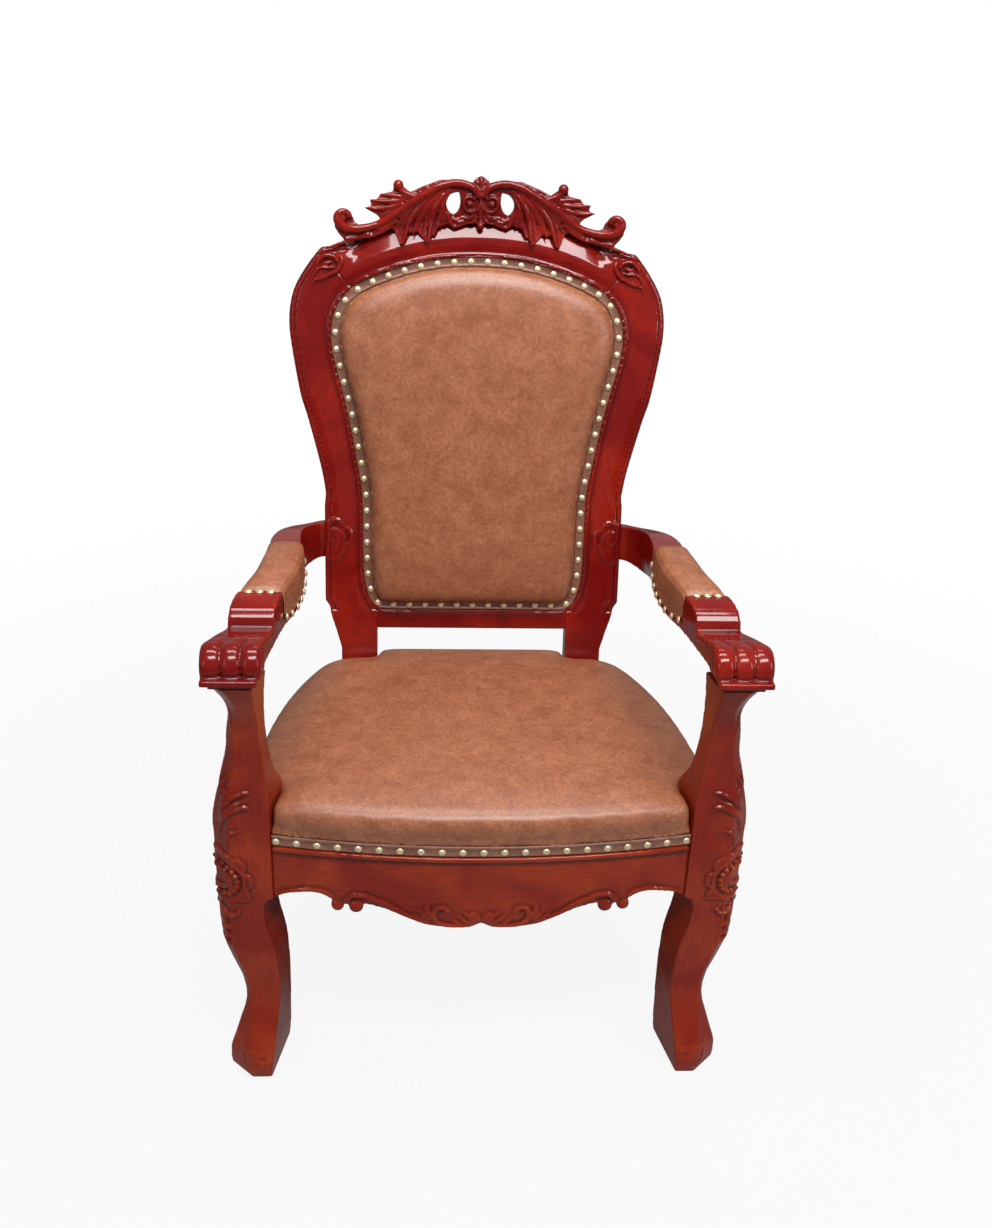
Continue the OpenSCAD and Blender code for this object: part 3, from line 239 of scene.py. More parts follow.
HIDE_BROWN = leather("brown_hide", (0.13, 0.04, 0.018), (0.30, 0.097, 0.041), (0.41, 0.15, 0.07), 0.24)
HIDE_TRIM = leather("trim_hide", (0.10, 0.036, 0.02), (0.19, 0.075, 0.045), (0.28, 0.12, 0.075), 0.32)
print("hides", HIDE_BROWN.name, HIDE_TRIM.name)


# %% Plain finishes
def plain(name, light, dark, scale, roughness, metallic=0.0, bump_depth=0.0002):
    """A finish that varies slowly between two tones, with a fine bump."""
    material = bpy.data.materials.new(name)
    material.use_nodes = True
    tree = material.node_tree
    surface = tree.nodes["Principled BSDF"]
    place = node(tree, "ShaderNodeTexCoord")
    noise = node(tree, "ShaderNodeTexNoise", Scale=scale, Detail=4.0, Roughness=0.6)
    tree.links.new(place.outputs["Object"], noise.inputs["Vector"])
    tone = ramp(tree, noise.outputs["Fac"], [(0.3, dark), (0.7, light)])
    tree.links.new(tone, surface.inputs["Base Color"])
    rough = ramp(tree, noise.outputs["Fac"], [(0.3, (roughness + 0.12,) * 3), (0.7, (roughness,) * 3)])
    tree.links.new(rough, surface.inputs["Roughness"])
    bump = node(tree, "ShaderNodeBump", Strength=0.3, Distance=bump_depth)
    tree.links.new(noise.outputs["Fac"], bump.inputs["Height"])
    tree.links.new(bump.outputs[0], surface.inputs["Normal"])
    surface.inputs["Metallic"].default_value = metallic
    return material


BRASS = plain("nail_brass", (0.98, 0.87, 0.58), (0.85, 0.7, 0.42), 300.0, 0.3, metallic=0.75)
STEEL = plain("zinc_steel", (0.6, 0.6, 0.62), (0.42, 0.42, 0.44), 200.0, 0.3, metallic=1.0)
FOAM = plain("open_foam", (0.9, 0.84, 0.64), (0.72, 0.64, 0.44), 700.0, 0.9, bump_depth=0.001)
PINE = plain("raw_pine", (0.68, 0.5, 0.31), (0.5, 0.34, 0.19), 40.0, 0.7)
WEAVE = plain("dust_weave", (0.05, 0.05, 0.05), (0.015, 0.015, 0.015), 1800.0, 0.9, bump_depth=0.0005)
GLIDE = plain("glide_plastic", (0.05, 0.05, 0.05), (0.025, 0.025, 0.025), 120.0, 0.45)
print("plain finishes", [made.name for made in (BRASS, STEEL, FOAM, PINE, WEAVE, GLIDE)])


# %% [markdown]
# The blank of each carved board is its construction solid, read back as a mesh and merged. A wood
# carver softens every edge except where two boards meet, so the smoothing leaves joints alone.

# %% Blanks
CARVED = ["front_post_left", "front_post_right", "back_stile_left", "back_stile_right", "top_rail",
          "crest_carving", "lower_back_rail", "front_seat_rail", "side_seat_rail_left",
          "side_seat_rail_right", "back_seat_rail", "arm_left", "arm_right"]


def solid_of(name):
    bm = bmesh.new()
    bm.from_mesh(nodes[name].data)
    bmesh.ops.remove_doubles(bm, verts=bm.verts, dist=0.00001)
    return bm


def tree_of(*names):
    """A search tree over the surfaces of some CAD nodes."""
    bm = bmesh.new()
    for name in names:
        bm.from_mesh(nodes[name].data)
    tree = BVHTree.FromBMesh(bm)
    bm.free()
    return tree


def finished(name, mesh, material, replaced=()):
    """A piece at the origin, riding on the chair, with smooth shading."""
    mesh.name = name
    piece = bpy.data.objects.new(name, mesh)
    bpy.context.scene.collection.objects.link(piece)
    mesh.materials.clear()
    mesh.materials.append(material)
    mesh.shade_smooth()
    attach(piece, "root")
    if replaced:
        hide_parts(*replaced)
    print(name, len(mesh.polygons), "faces")
    return piece


def mesh_from(bm):
    mesh = bpy.data.meshes.new("work")
    bm.to_mesh(mesh)
    bm.free()
    return mesh


def with_modifiers(mesh, *settings):
    """The mesh after some modifiers, each given as (kind, {setting: value})."""
    work = bpy.data.objects.new("work", mesh)
    bpy.context.scene.collection.objects.link(work)
    for kind, values in settings:
        modifier = work.modifiers.new(kind, kind)
        for key, value in values.items():
            setattr(modifier, key, value)
    graph = bpy.context.evaluated_depsgraph_get()
    made = bpy.data.meshes.new_from_object(work.evaluated_get(graph))
    bpy.data.objects.remove(work)
    return made


def fused(bm, voxel):
    """Everything in bm as one skin of small squares."""
    made = with_modifiers(mesh_from(bm), ("REMESH", {"mode": "VOXEL", "voxel_size": voxel}))
    out = bmesh.new()
    out.from_mesh(made)
    bpy.data.meshes.remove(made)
    return out


def ease(t):
    """From 0 to 1 with a soft start and end."""
    t = min(1.0, max(0.0, t))
    return t * t * (3 - 2 * t)


SHAVING = 0.0004
JOINT_KEPT = 0.0016
JOINT_NEAR = 0.003
JOINT_SNAP = 0.0014
# The painted shade in the hollows: smoothing passes, and the depth under the smoothed surface that is fully
# shaded.
SHADE_PASSES = 12
SHADE_DEPTH = 0.0007


def plane_flats(bm, blank):
    """Points less than a shaving from the blank go back onto it, so that the flats are true."""
    for v in bm.verts:
        near, _, _, reach = blank.find_nearest(v.co, SHAVING)
        if near is not None:
            v.co = v.co.lerp(near, 1 - ease(2 * reach / SHAVING - 1))


def rub(bm, verts, passes):
    """Each pass of the sandpaper moves a point half way to the middle of its neighbours."""
    for _ in range(passes):
        bmesh.ops.smooth_vert(bm, verts=verts, factor=0.5, use_axis_x=True, use_axis_y=True,
                              use_axis_z=True)


def soften(bm, passes, joints=None):
    """Rounds every edge that isn't at a joint."""
    rub(bm, [v for v in bm.verts if joints is None or joints.find_nearest(v.co, JOINT_KEPT)[0] is None],
        passes)


def paint_hollow_shade(mesh):
    """Stores how deep each point lies under the smoothed surface, as painted shade in the hollows."""
    bm = bmesh.new()
    bm.from_mesh(mesh)
    before = [(v.co.copy(), v.normal.copy()) for v in bm.verts]
    rub(bm, bm.verts, SHADE_PASSES)
    depths = [(v.co - old).dot(normal) / SHADE_DEPTH for v, (old, normal) in zip(bm.verts, before)]
    bm.free()
    hollow = mesh.attributes.new("hollow", "FLOAT", "POINT")
    hollow.data.foreach_set("value", [min(1.0, max(0.0, depth)) for depth in depths])


def carved(name, finish, voxel, passes, relief=None, shape=None, planed=True):
    """Replaces a CAD board by its carved form: relief adds work to the blank, shape moves points.

    A planed board gets its flats back after the softening, and a moulded one doesn't need them."""
    bm = solid_of(name)
    blank = BVHTree.FromBMesh(bm)
    if relief:
        relief(bm)
    bm = fused(bm, voxel)
    joints = tree_of(*[other for other in CARVED if other != name])
    soften(bm, passes, joints)
    if planed:
        plane_flats(bm, blank)
        soften(bm, 1, joints)
    for v in bm.verts:
        near = blank.find_nearest(v.co, JOINT_SNAP)[0]
        if near is not None and joints.find_nearest(v.co, JOINT_NEAR)[0] is not None:
            v.co = near
    if shape:
        bm.normal_update()
        shape(bm)
    bmesh.ops.recalc_face_normals(bm, faces=bm.faces)
    mesh = mesh_from(bm)
    paint_hollow_shade(mesh)
    return finished(name + "_carved", mesh, finish, (name,))


# %% [markdown]
# Raised carving is drawn as strokes: a line with a thickness at each point, like a gouge cut seen
# from its other side. A stroke becomes a curve with a round section, then a mesh, and is fused with
# the blank.

# %% Strokes
def bend(points, steps=6):
    """A smooth path through points of any length, such as (x, y, z, radius)."""
    out = []
    last = len(points) - 1
    for i in range(last):
        a, b, c, d = (points[max(i - 1, 0)], points[i], points[i + 1], points[min(i + 2, last)])
        for k in range(steps):
            t = k / steps
            out.append([0.5 * (2 * q + (r - p) * t + (2 * p - 5 * q + 4 * r - s) * t * t
                               + (3 * q - p - 3 * r + s) * t ** 3) for p, q, r, s in zip(a, b, c, d)])
    out.append(list(points[last]))
    return out


LEAST_RADIUS = 0.15


def add_strokes(bm, strokes):
    """Each stroke is a list of (place, radius in millimetres)."""
    curve = bpy.data.curves.new("strokes", "CURVE")
    curve.dimensions = "3D"
    curve.bevel_depth = MM
    curve.bevel_resolution = 3
    curve.use_fill_caps = True
    for stroke in strokes:
        spline = curve.splines.new("POLY")
        spline.points.add(len(stroke) - 1)
        for point, (place, radius) in zip(spline.points, stroke):
            point.co = (*place, 1.0)
            point.radius = max(radius, LEAST_RADIUS)
    work = bpy.data.objects.new("strokes", curve)
    bpy.context.scene.collection.objects.link(work)
    graph = bpy.context.evaluated_depsgraph_get()
    made = bpy.data.meshes.new_from_object(work.evaluated_get(graph))
    bm.from_mesh(made)
    bpy.data.objects.remove(work)
    bpy.data.meshes.remove(made)


def add_drop(bm, place, size, turn=None):
    """An egg-shaped lump: size is its three half widths."""
    matrix = Matrix.Translation(place) @ (turn or Matrix.Identity(4)) @ Matrix.Diagonal((*size, 1.0))
    bmesh.ops.create_uvsphere(bm, u_segments=20, v_segments=12, radius=1.0, matrix=matrix)


# %% The back's own frame
LEAN = math.radians(10)
LEAN_Y = 0.168
LEAN_Z = 0.460
TO_BACK = Matrix.Translation((0, LEAN_Y, LEAN_Z)) @ Matrix.Rotation(-LEAN, 4, "X")
FROM_BACK = TO_BACK.inverted()


def on_back(x, s, n=0.0):
    """A point of the back in millimetres: x across, s up the lean, n behind the face."""
    return TO_BACK @ Vector((x * MM, n * MM, s * MM))


def loose_parts(bm):
    """The points of each separate part of a mesh."""
    found = []
    left = set(bm.verts)
    while left:
        part = {left.pop()}
        edge = list(part)
        while edge:
            v = edge.pop()
            for e in v.link_edges:
                other = e.other_vert(v)
                if other in left:
                    left.discard(other)
                    part.add(other)
                    edge.append(other)
        found.append([v.co.copy() for v in part])
    return found


def nails_of(name):
    """Where each nail of a node is: its middle, and the direction its head faces."""
    bm = solid_of(name)
    nails = []
    for part in loose_parts(bm):
        middle = sum(part, Vector()) / len(part)
        tip = max(part, key=lambda p: (p - middle).length)
        facing = (middle - tip).normalized()
        top = max(part, key=lambda p: p.dot(facing))
        nails.append((tip + facing * (top - tip).dot(facing), facing))
    bm.free()
    return nails


def nail_centres(name):
    return [place for place, _ in nails_of(name)]


# %% Path of the nailed panel
PANEL_MIDDLE_S = 0.32


def ring_path(name, steps=4):
    """The nails of a closed row in order round the panel, as a smooth closed path of (x, s) in mm."""
    flat = [FROM_BACK @ c for c in nail_centres(name)]
    flat.sort(key=lambda p: math.atan2(p.x, p.z - PANEL_MIDDLE_S))
    points = [(p.x / MM, p.z / MM) for p in flat]
    wrapped = bend(points[-2:] + points + points[:3], steps)
    return wrapped[2 * steps:-3 * steps]


PANEL = ring_path("back_nails")
print("panel path", len(PANEL), "points, widest", round(max(p[0] for p in PANEL), 1))


def moved_ring(path, d):
    """The closed path moved outwards by d."""
    out = []
    for i, (x, s) in enumerate(path):
        ax, ay = path[i - 1]
        bx, by = path[(i + 1) % len(path)]
        length = math.hypot(bx - ax, by - ay)
        out.append((x - d * (by - ay) / length, s + d * (bx - ax) / length))
    return out


# %% [markdown]
# Every ornament is drawn flat, in millimetres, and then laid on the wood: a ray goes from each
# drawn point to the board, and the stroke follows where it lands. The same drawing serves both
# sides of the chair, because the carver turned the template over.

# %% Laying a drawing on the wood
def landing(tree, start, direction):
    """Where a ray meets the wood, or None."""
    return tree.ray_cast(start, direction)[0]


def laid(tree, drawing, to_place, direction, steps=5):
    """Strokes on the wood. drawing: lists of (across, up, radius[, lift]) in mm."""
    strokes = []
    for line in drawing:
        full = [tuple(p) + (0.0,) * (4 - len(p)) for p in line]
        stroke = []
        for across, height, radius, lift in bend(full, steps) if len(full) > 1 else full:
            start = to_place(across, height)
            aim = direction(across, height) if callable(direction) else direction
            place = landing(tree, start, aim)
            if place is None and stroke:
                previous = stroke[-1][0] + aim * (stroke[-1][2] * MM)
                place = start + aim * (previous - start).dot(aim)
            if place is not None:
                stroke.append((place - aim * (lift * MM), radius, lift))
        if len(stroke) > 1:
            strokes.append([(place, radius) for place, radius, _ in stroke])
    return strokes


def on_side(drawing, side):
    """A drawing as it lies on the left of the chair (side 1) or turned over for the right (-1)."""
    return [[(side * across, *rest) for across, *rest in line] for line in drawing]


def both_sides(drawing):
    return drawing + on_side(drawing, -1)


def spiral(cx, cy, r_out, turns, start, sense, thick_out, thick_in, lift=0.0, steps=10):
    """A line that winds inwards from r_out to a centre."""
    count = int(turns * steps)
    out = []
    for i in range(count + 1):
        t = i / count
        radius = r_out * (1 - t) + thick_in * t
        angle = start + sense * 2 * math.pi * turns * t
        out.append((cx + radius * math.cos(angle), cy + radius * math.sin(angle),
                    thick_out * (1 - t) + thick_in * t, lift))
    return out


# %% [markdown]
# The crest is one long scroll: it starts in a spiral by the middle, arches over a pierced eye,
# sweeps down and ends in an upturned volute. Acanthus leaves hang from it, each a fan of ribs.
# Every rib is one stroke that swells and dies away, so a leaf has the ridges that a gouge leaves.
# A point of a drawing is (across, up, radius, lift).

# %% The crest
def hump(d, centre, width):
    """1 at the centre, 0 beyond half the width."""
    t = abs(d - centre) / (width / 2)
    return 0.5 + 0.5 * math.cos(math.pi * t) if t < 1 else 0.0


INTO_BACK = (TO_BACK.to_3x3() @ Vector((0, 1, 0))).normalized()


BEFORE = -80.0
BALL_DEPTH = -6.0


def before_back(across, height):
    return on_back(across, height, BEFORE)


CREST = [
    [(2, 675, 5.0, 2.5), (7, 684, 5.2, 3), (18, 691, 5.6, 3), (36, 694, 5.8, 3), (57, 690, 5.8, 3),
     (77, 680, 5.6, 3), (98, 667, 5.4, 3), (118, 653, 5.2, 3), (138, 640, 5.2, 2.5), (158, 631, 5.6, 2.5),
     (180, 627, 6.2, 3), (196, 628, 6.6, 3.5), (206, 635, 6.6, 3.5), (208, 644, 6.0, 3.5), (201, 650, 5.4, 3),
     (193, 648, 4.6, 2.5), (190, 642, 4.0, 2)],
    [(49, 685, 1.4, 2.5), (70, 676, 2.2, 2.5), (93, 663, 2.4, 2.5), (112, 651, 2.4, 2.5), (132, 638, 2.0, 2),
     (151, 629, 1.0, 2)],
    [(-1, 668, 2.8, 2), (5, 658, 3.0, 2), (16, 654.5, 2.8, 2), (24.5, 661, 2.6, 2), (24, 671, 2.6, 2.5),
     (16, 675.5, 2.2, 2), (9, 671, 1.8, 2)],
    [(122, 640, 3.4, 1.5), (141, 630, 3.4, 1.5), (160, 621, 3.4, 1), (182, 613, 3.0, 0.5), (206, 605, 2.6, 0),
     (227, 597, 1.2, 0)],
    [(127, 633, 1.6, 1), (143, 624, 2.6, 1), (160, 617, 2.4, 0.5), (182, 615, 1.8, 0.5), (198, 612, 1.0)],
    [(96, 674, 3.6, 1), (110, 678, 4.0, 2), (118, 684, 4.4, 2)],
]
CREST_LEAVES = [
    [(68, 679, 1.6, 1), (81, 667, 3.0, 2), (96, 650, 4.0, 2), (106, 632, 3.6, 1.5), (113, 605, 0.8)],
    [(74, 675, 1.4, 1), (93, 664, 2.8, 2), (112, 647, 3.4, 1.5), (123, 629, 0.8)],
    [(79, 672, 1.2, 1), (96, 657, 2.4, 1.8), (111, 639, 2.8, 1.2), (118, 619, 0.7)],
    [(67, 678, 1.2, 1), (79, 662, 2.6, 1.6), (91, 643, 2.8, 1.2), (99, 617, 0.7)],
    [(68, 676, 1.2, 1), (78, 655, 2.2, 1.2), (88, 639, 2.2, 0.8), (93, 627, 0.7)],
    [(43, 685, 1.6, 1), (55, 676, 3.0, 2), (66, 658, 4.0, 2), (73, 635, 3.8, 1.5), (76, 604, 0.8)],
    [(46, 686, 1.4, 1), (62, 676, 2.8, 2), (79, 657, 3.4, 1.5), (86, 643, 2.6, 1), (90, 630, 0.8)],
    [(48, 684, 1.2, 1), (63, 671, 2.4, 1.8), (75, 650, 2.8, 1.2), (81, 632, 2.4, 0.8), (82, 617, 0.7)],
    [(43, 684, 1.2, 1), (52, 669, 2.4, 1.8), (59, 651, 3.0, 1.4), (64, 633, 2.6, 1), (68, 618, 0.7)],
    [(45, 683, 1.2, 1), (52, 668, 2.0, 1.4), (57, 649, 2.6, 1.2), (59, 631, 0.8)],
    [(48, 677, 1.4, 1), (54.5, 661, 2.2, 1.4), (53.5, 646, 2.6, 1.2), (52, 633, 0.9)],
    [(53.5, 665, 1.4, 1), (51.5, 650, 2.2, 1.4), (45, 640, 2.6, 1), (38, 631, 0.9)],
    [(52, 656, 1.4, 1), (46, 646.5, 2.2, 1.4), (36, 642.5, 2.2, 1), (27, 647, 1.4, 0.6)],
    [(40, 647, 1.4, 0.6), (33, 640, 2.2, 1), (24, 642, 1.4, 0.6)],
    [(103, 671, 2.0, 1), (117, 673.5, 3.4, 1), (132, 674.5, 3.0, 0.6), (147, 676, 0.7)],
    [(108, 669, 2.0, 1), (127, 666.5, 3.2, 1), (145, 666, 2.6, 0.6), (162, 668, 0.7)],
    [(114, 664, 2.0, 1), (132, 658, 3.2, 1), (151, 655, 2.6, 0.6), (169, 657, 0.7)],
    [(116, 659, 2.0, 1), (130, 653, 2.8, 0.8), (141, 648, 2.2, 0.5), (148, 643, 0.8)],
    [(6, 652, 1.4, 0.6), (13, 647, 2.6, 1), (21, 645, 2.2, 0.8), (27, 648, 1.0)],
    [(5, 648, 1.2, 0.6), (10, 641, 2.2, 0.8), (17, 638, 1.0)],
    [(1, 690, 2.0, 1.5), (7, 696, 2.8, 1.5), (11, 698, 1.6, 1)],
]
CREST_MIDDLE = [
    [(0, 704, 2.0, 1.5), (0, 697, 3.4, 2.5), (0, 688, 3.0, 2.5), (0, 678, 2.6, 2), (0, 664, 2.4, 1.5)],
    [(0, 662, 2.4, 1.0), (0, 652, 3.2, 1.2), (0, 645, 2.6, 1), (0, 640, 2.4, 1)],
]
CREST_BALLS = [(120, 689, 7.6, 1.5), (16.5, 664.5, 3.6, 3.2), (0, 636, 5.4, 1.5), (200, 641, 5.0, 2.0)]


def back_balls(bm, tree, rows):
    """Round lumps on the back's face."""
    for x, s, radius, lift in sum(rows, []):
        place = landing(tree, before_back(x, s), INTO_BACK) or on_back(x, s, BALL_DEPTH)
        add_drop(bm, place - INTO_BACK * (lift * MM), (radius * MM,) * 3)


BEVEL_START = 29.0
BEVEL_ROUND = 7.0
BEVEL_SLOPE = 0.36
BEVEL_DEEP = 10.0
BEVEL_END = 176.0
BEVEL_FADE = 30.0
ARCH_TOP = 585.0
ARCH_FALL = 34.0
ARCH_HALF = 168.0
ARCH_POWER = 2.2
ARCH_LIMIT = 1.3


def panel_top_at(x):
    """The height of the nail line over the panel, as a smooth arch."""
    return ARCH_TOP - ARCH_FALL * min(abs(x) / ARCH_HALF, ARCH_LIMIT) ** ARCH_POWER


def cove(x, s):
    """How far the top rail's bevel falls back towards the crest, in mm."""
    past = max(0.0, s - (panel_top_at(x) + BEVEL_START))
    run = past * past / (2 * BEVEL_ROUND) if past < BEVEL_ROUND else past - BEVEL_ROUND / 2
    return min(BEVEL_SLOPE * run, BEVEL_DEEP) * (1 - ease((abs(x) - BEVEL_END) / BEVEL_FADE))


LEAF_TOP = 0.67
LEAF_FADE = 0.034
LEAF_BACK = 0.004
LEAF_FRONT_SHARE = 0.6


def follow_cove(bm):
    """The back of each leaf goes down to the wood that it lies on."""
    for v in bm.verts:
        flat = FROM_BACK @ v.co
        if flat.y < LEAF_BACK and flat.z < LEAF_TOP:
            share = 1.0 if v.normal.dot(INTO_BACK) > 0.3 else LEAF_FRONT_SHARE
            share *= ease((LEAF_TOP - flat.z) / LEAF_FADE)
            v.co += INTO_BACK * (share * cove(flat.x / MM, flat.z / MM) * MM)


def crest_relief(bm):
    tree = BVHTree.FromBMesh(bm)
    drawing = both_sides(CREST + CREST_LEAVES) + CREST_MIDDLE
    add_strokes(bm, laid(tree, drawing, before_back, INTO_BACK))
    back_balls(bm, tree, both_sides([CREST_BALLS]))


carved("crest_carving", UPPER["X"], 0.00115, 2, crest_relief, follow_cove, planed=False)

# %% [markdown]
# The back frame is a wide moulding: a raised bead runs beside the leather, the face between is
# slightly domed, and a fine line follows the outer edge. All three depend only on the distance
# from an edge, so they are made by moving the surface by a profile of that distance.

# %% Mouldings by distance
EDGE_SPACING = 0.0006
FRONT_FACING = 0.75
SHARP_TURN = 0.6


def outline_points(name):
    """Points along the sharp edges of a board's front face."""
    bm = solid_of(name)
    bm.normal_update()
    points = []
    for edge in bm.edges:
        turns = sorted(-face.normal.dot(INTO_BACK) for face in edge.link_faces)
        if len(turns) == 2 and turns[1] >= FRONT_FACING and turns[1] - turns[0] >= SHARP_TURN:
            start, end = (v.co for v in edge.verts)
            count = max(1, int((end - start).length / EDGE_SPACING))
            points += [start.lerp(end, i / count) for i in range(count + 1)]
    bm.free()
    return points


def finder(points):
    tree = kdtree.KDTree(len(points))
    for i, point in enumerate(points):
        tree.insert(point, i)
    tree.balance()
    return tree


BAND = tree_of("back_trim_band")
BAND_NEAR = 0.016
OUTER_X = 0.18
MITRE_MIDDLE = (0.2015, 0.557)
MITRE_GAP = 0.024


def on_outer_edge(point):
    """Whether a point of an outline is on the back's outer edge, away from leather and mitres."""
    flat = FROM_BACK @ point
    to_mitre = math.hypot(abs(flat.x) - MITRE_MIDDLE[0], flat.z - MITRE_MIDDLE[1])
    return abs(flat.x) > OUTER_X and to_mitre > MITRE_GAP and BAND.find_nearest(point, BAND_NEAR)[0] is None


BACK_EDGE = [point for board in ("back_stile_left", "back_stile_right", "top_rail")
             for point in outline_points(board) if on_outer_edge(point)]
print("outer edge of the back", len(BACK_EDGE), "points")
BACK_OUTER = finder(BACK_EDGE)
WIDE = 30.0
SLOPE_WIDTH = 14.0
ARM_LEVEL = 0.05


def fading(distance, start, width):
    """1 up to the start, falling to 0 over the width."""
    return 1 - ease((distance - start) / width)


def back_moulding(bm):
    """A dome between the bead and the outer edge, a line along that edge, and the cove on top.

    Distances and falls are in mm. The line and the dome start above the arms."""
    for v in bm.verts:
        if -v.normal.dot(INTO_BACK) < 0.5:
            continue
        flat = FROM_BACK @ v.co
        inner = BAND.find_nearest(v.co, WIDE * MM)
        d_in = inner[3] / MM if inner[0] is not None else WIDE
        d_out = BACK_OUTER.find(v.co)[2] / MM
        fall = 1.1 * hump(d_in, 5.6, 2.6) + cove(flat.x / MM, flat.z / MM)
        if flat.z > ARM_LEVEL:
            fall += 1.0 * hump(d_out, 8.0, 2.4)
            fall += 1.5 * fading(d_out, 0, 6)
            fall += 1.8 * fading(d_out, 8, SLOPE_WIDTH)
            fall += 1.6 * fading(d_in, 6, SLOPE_WIDTH)
        v.co += INTO_BACK * (fall * MM)


def runs_on(tree, path, radius, lift, depth=4.0):
    """The stretches of a closed path that lie on the front of one board."""
    runs = [[]]
    for x, s in path + path[:1]:
        place = landing(tree, before_back(x, s), INTO_BACK)
        if place is not None and abs((FROM_BACK @ place).y) < depth * MM:
            runs[-1].append((place - INTO_BACK * (lift * MM), radius))
        elif runs[-1]:
            runs.append([])
    return [run for run in runs if len(run) > 1]


BEAD_PATH = moved_ring(PANEL, 9.0)
BEAD_R = 2.4
BEAD_LIFT = 0.7


def inner_bead(bm, tree):
    add_strokes(bm, runs_on(tree, BEAD_PATH, BEAD_R, BEAD_LIFT))


# %% [markdown]
# Two small carvings sit on the frame: a shell across each mitre, and a cloud with a spiral where
# each arm meets its stile. Both are outlines standing slightly above the face of the frame.

# %% Cloud and shell
CLOUD = [
    spiral(216, 168, 13.0, 1.6, math.radians(205), -1, 1.9, 1.2, 0.6),
    [(228, 176, 1.2), (226, 186, 1.8, 0.5), (218, 194, 2.2, 0.8), (208, 193, 2.2, 0.8), (202, 185, 1.8, 0.5),
     (203, 177, 1.2)],
    [(202, 183, 1.4, 0.5), (194, 180, 2.0, 0.7), (190, 170, 2.2, 0.8), (192, 160, 2.0, 0.7),
     (199, 155, 1.4, 0.4)],
    [(199, 156, 1.4, 0.5), (203, 149, 1.9, 0.7), (206, 141, 2.2, 0.8), (213, 134, 2.2, 0.8),
     (223, 132, 1.6, 0.4)],
]
SHELL = [
    [(240, 566, 1.6), (238, 577, 2.6, 0.8), (231, 586, 3.0, 1.0), (222, 589, 3.0, 1.0), (213, 586, 2.8, 1.0),
     (209, 579, 2.2, 0.8)],
    [(204, 590, 1.4), (202, 581, 3.0, 1.0), (206, 572, 3.4, 1.2), (211, 566, 3.4, 1.2), (219, 562, 3.4, 1.2),
     (227, 558, 3.4, 1.2), (236, 555, 3.2, 1.2), (243, 553, 2.4, 0.8), (248, 543, 1.4, 0.2), (254, 530, 1.0)],
    [(214, 574, 1.0, 0.2), (222, 571, 2.2, 0.8), (232, 571, 2.4, 0.8), (240, 566, 2.0, 0.6),
     (246, 556, 1.6, 0.4)],
    [(217, 580, 1.2, -0.2), (225, 577, 4.0, -1.8), (232, 576, 2.0, -0.6)],
]


def stile_relief(side):
    def relief(bm):
        tree = BVHTree.FromBMesh(bm)
        add_strokes(bm, laid(tree, on_side(CLOUD, side), before_back, INTO_BACK))
        inner_bead(bm, tree)
    return relief


def rail_bead(bm):
    inner_bead(bm, BVHTree.FromBMesh(bm))


def shell_piece(side, name):
    """The shell is glued on over the mitre, so it is a piece of its own."""
    tree = tree_of("back_stile_" + name, "top_rail")
    bm = bmesh.new()
    add_strokes(bm, laid(tree, on_side(SHELL, side), before_back, INTO_BACK))
    bm = fused(bm, 0.0008)
    soften(bm, 3)
    bmesh.ops.recalc_face_normals(bm, faces=bm.faces)
    mesh = mesh_from(bm)
    paint_hollow_shade(mesh)
    return finished("shell_carving_" + name, mesh, UPPER["X"])


for side, name in ((1, "left"), (-1, "right")):
    carved("back_stile_" + name, UPPER["Z"], 0.0019, 3, stile_relief(side), back_moulding, planed=False)
    shell_piece(side, name)
carved("top_rail", UPPER["X"], 0.0019, 4, rail_bead, back_moulding, planed=False)
carved("lower_back_rail", UPPER["X"], 0.002, 4, rail_bead, back_moulding, planed=False)


# %% [markdown]
# The front legs carry their ornament on the outer corner, where a visitor sees it: a beaded flower
# at the knee, curved veins above it and a ribbed leaf below. It wraps round the corner, so the
# drawing is laid on by rays that turn about a line inside the leg.

# %% Leg ornament
TOWARDS_BACK = Vector((0, 1, 0))
AHEAD_Y = -0.5
ASIDE_X = 0.5
CORNER_IN = 0.030
CORNER_ROUND = 36.0
CORNER_TURN = math.radians(15)
CORNER_START = 0.12
LEG_FRONT_X = 0.312
LEG_SIDE_Y = -0.275
LEG_CORNER = (0.345, -0.30)


def corner_frame(tree, side):
    """Returns the functions that lay a drawing round the outer front corner of a post."""
    def axis_at(height):
        outer = landing(tree, Vector((side * ASIDE_X, LEG_SIDE_Y, height * MM)), Vector((-side, 0, 0)))
        front = landing(tree, Vector((side * LEG_FRONT_X, AHEAD_Y, height * MM)), TOWARDS_BACK)
        x = outer.x if outer else side * LEG_CORNER[0]
        y = front.y if front else LEG_CORNER[1]
        return Vector((x - side * CORNER_IN, y + CORNER_IN, height * MM))

    def out_direction(across):
        angle = CORNER_TURN + across / CORNER_ROUND
        return Vector((side * math.cos(angle), -math.sin(angle), 0))

    def start(across, height):
        return axis_at(height) + out_direction(across) * CORNER_START

    def aim(across, _):
        return -out_direction(across)

    return start, aim


def soft_tree(name):
    """A search tree over a board with its edges well rounded."""
    bm = fused(solid_of(name), 0.003)
    soften(bm, 14)
    tree = BVHTree.FromBMesh(bm)
    bm.free()
    return tree


KNEE_Z = 324
PETALS = 8
PETAL_DEPTH = 0.19
PETAL_X = 43.0
PETAL_Z = 44.0
PETAL_IN = 33.0


def round_knee(angle, across, up):
    """A point round the middle of the knee."""
    return across * math.cos(angle), KNEE_Z + up * math.sin(angle)


def ring(reach, radius, lift, steps=32):
    return [(*round_knee(2 * math.pi * i / steps, reach, reach), radius, lift) for i in range(steps + 1)]


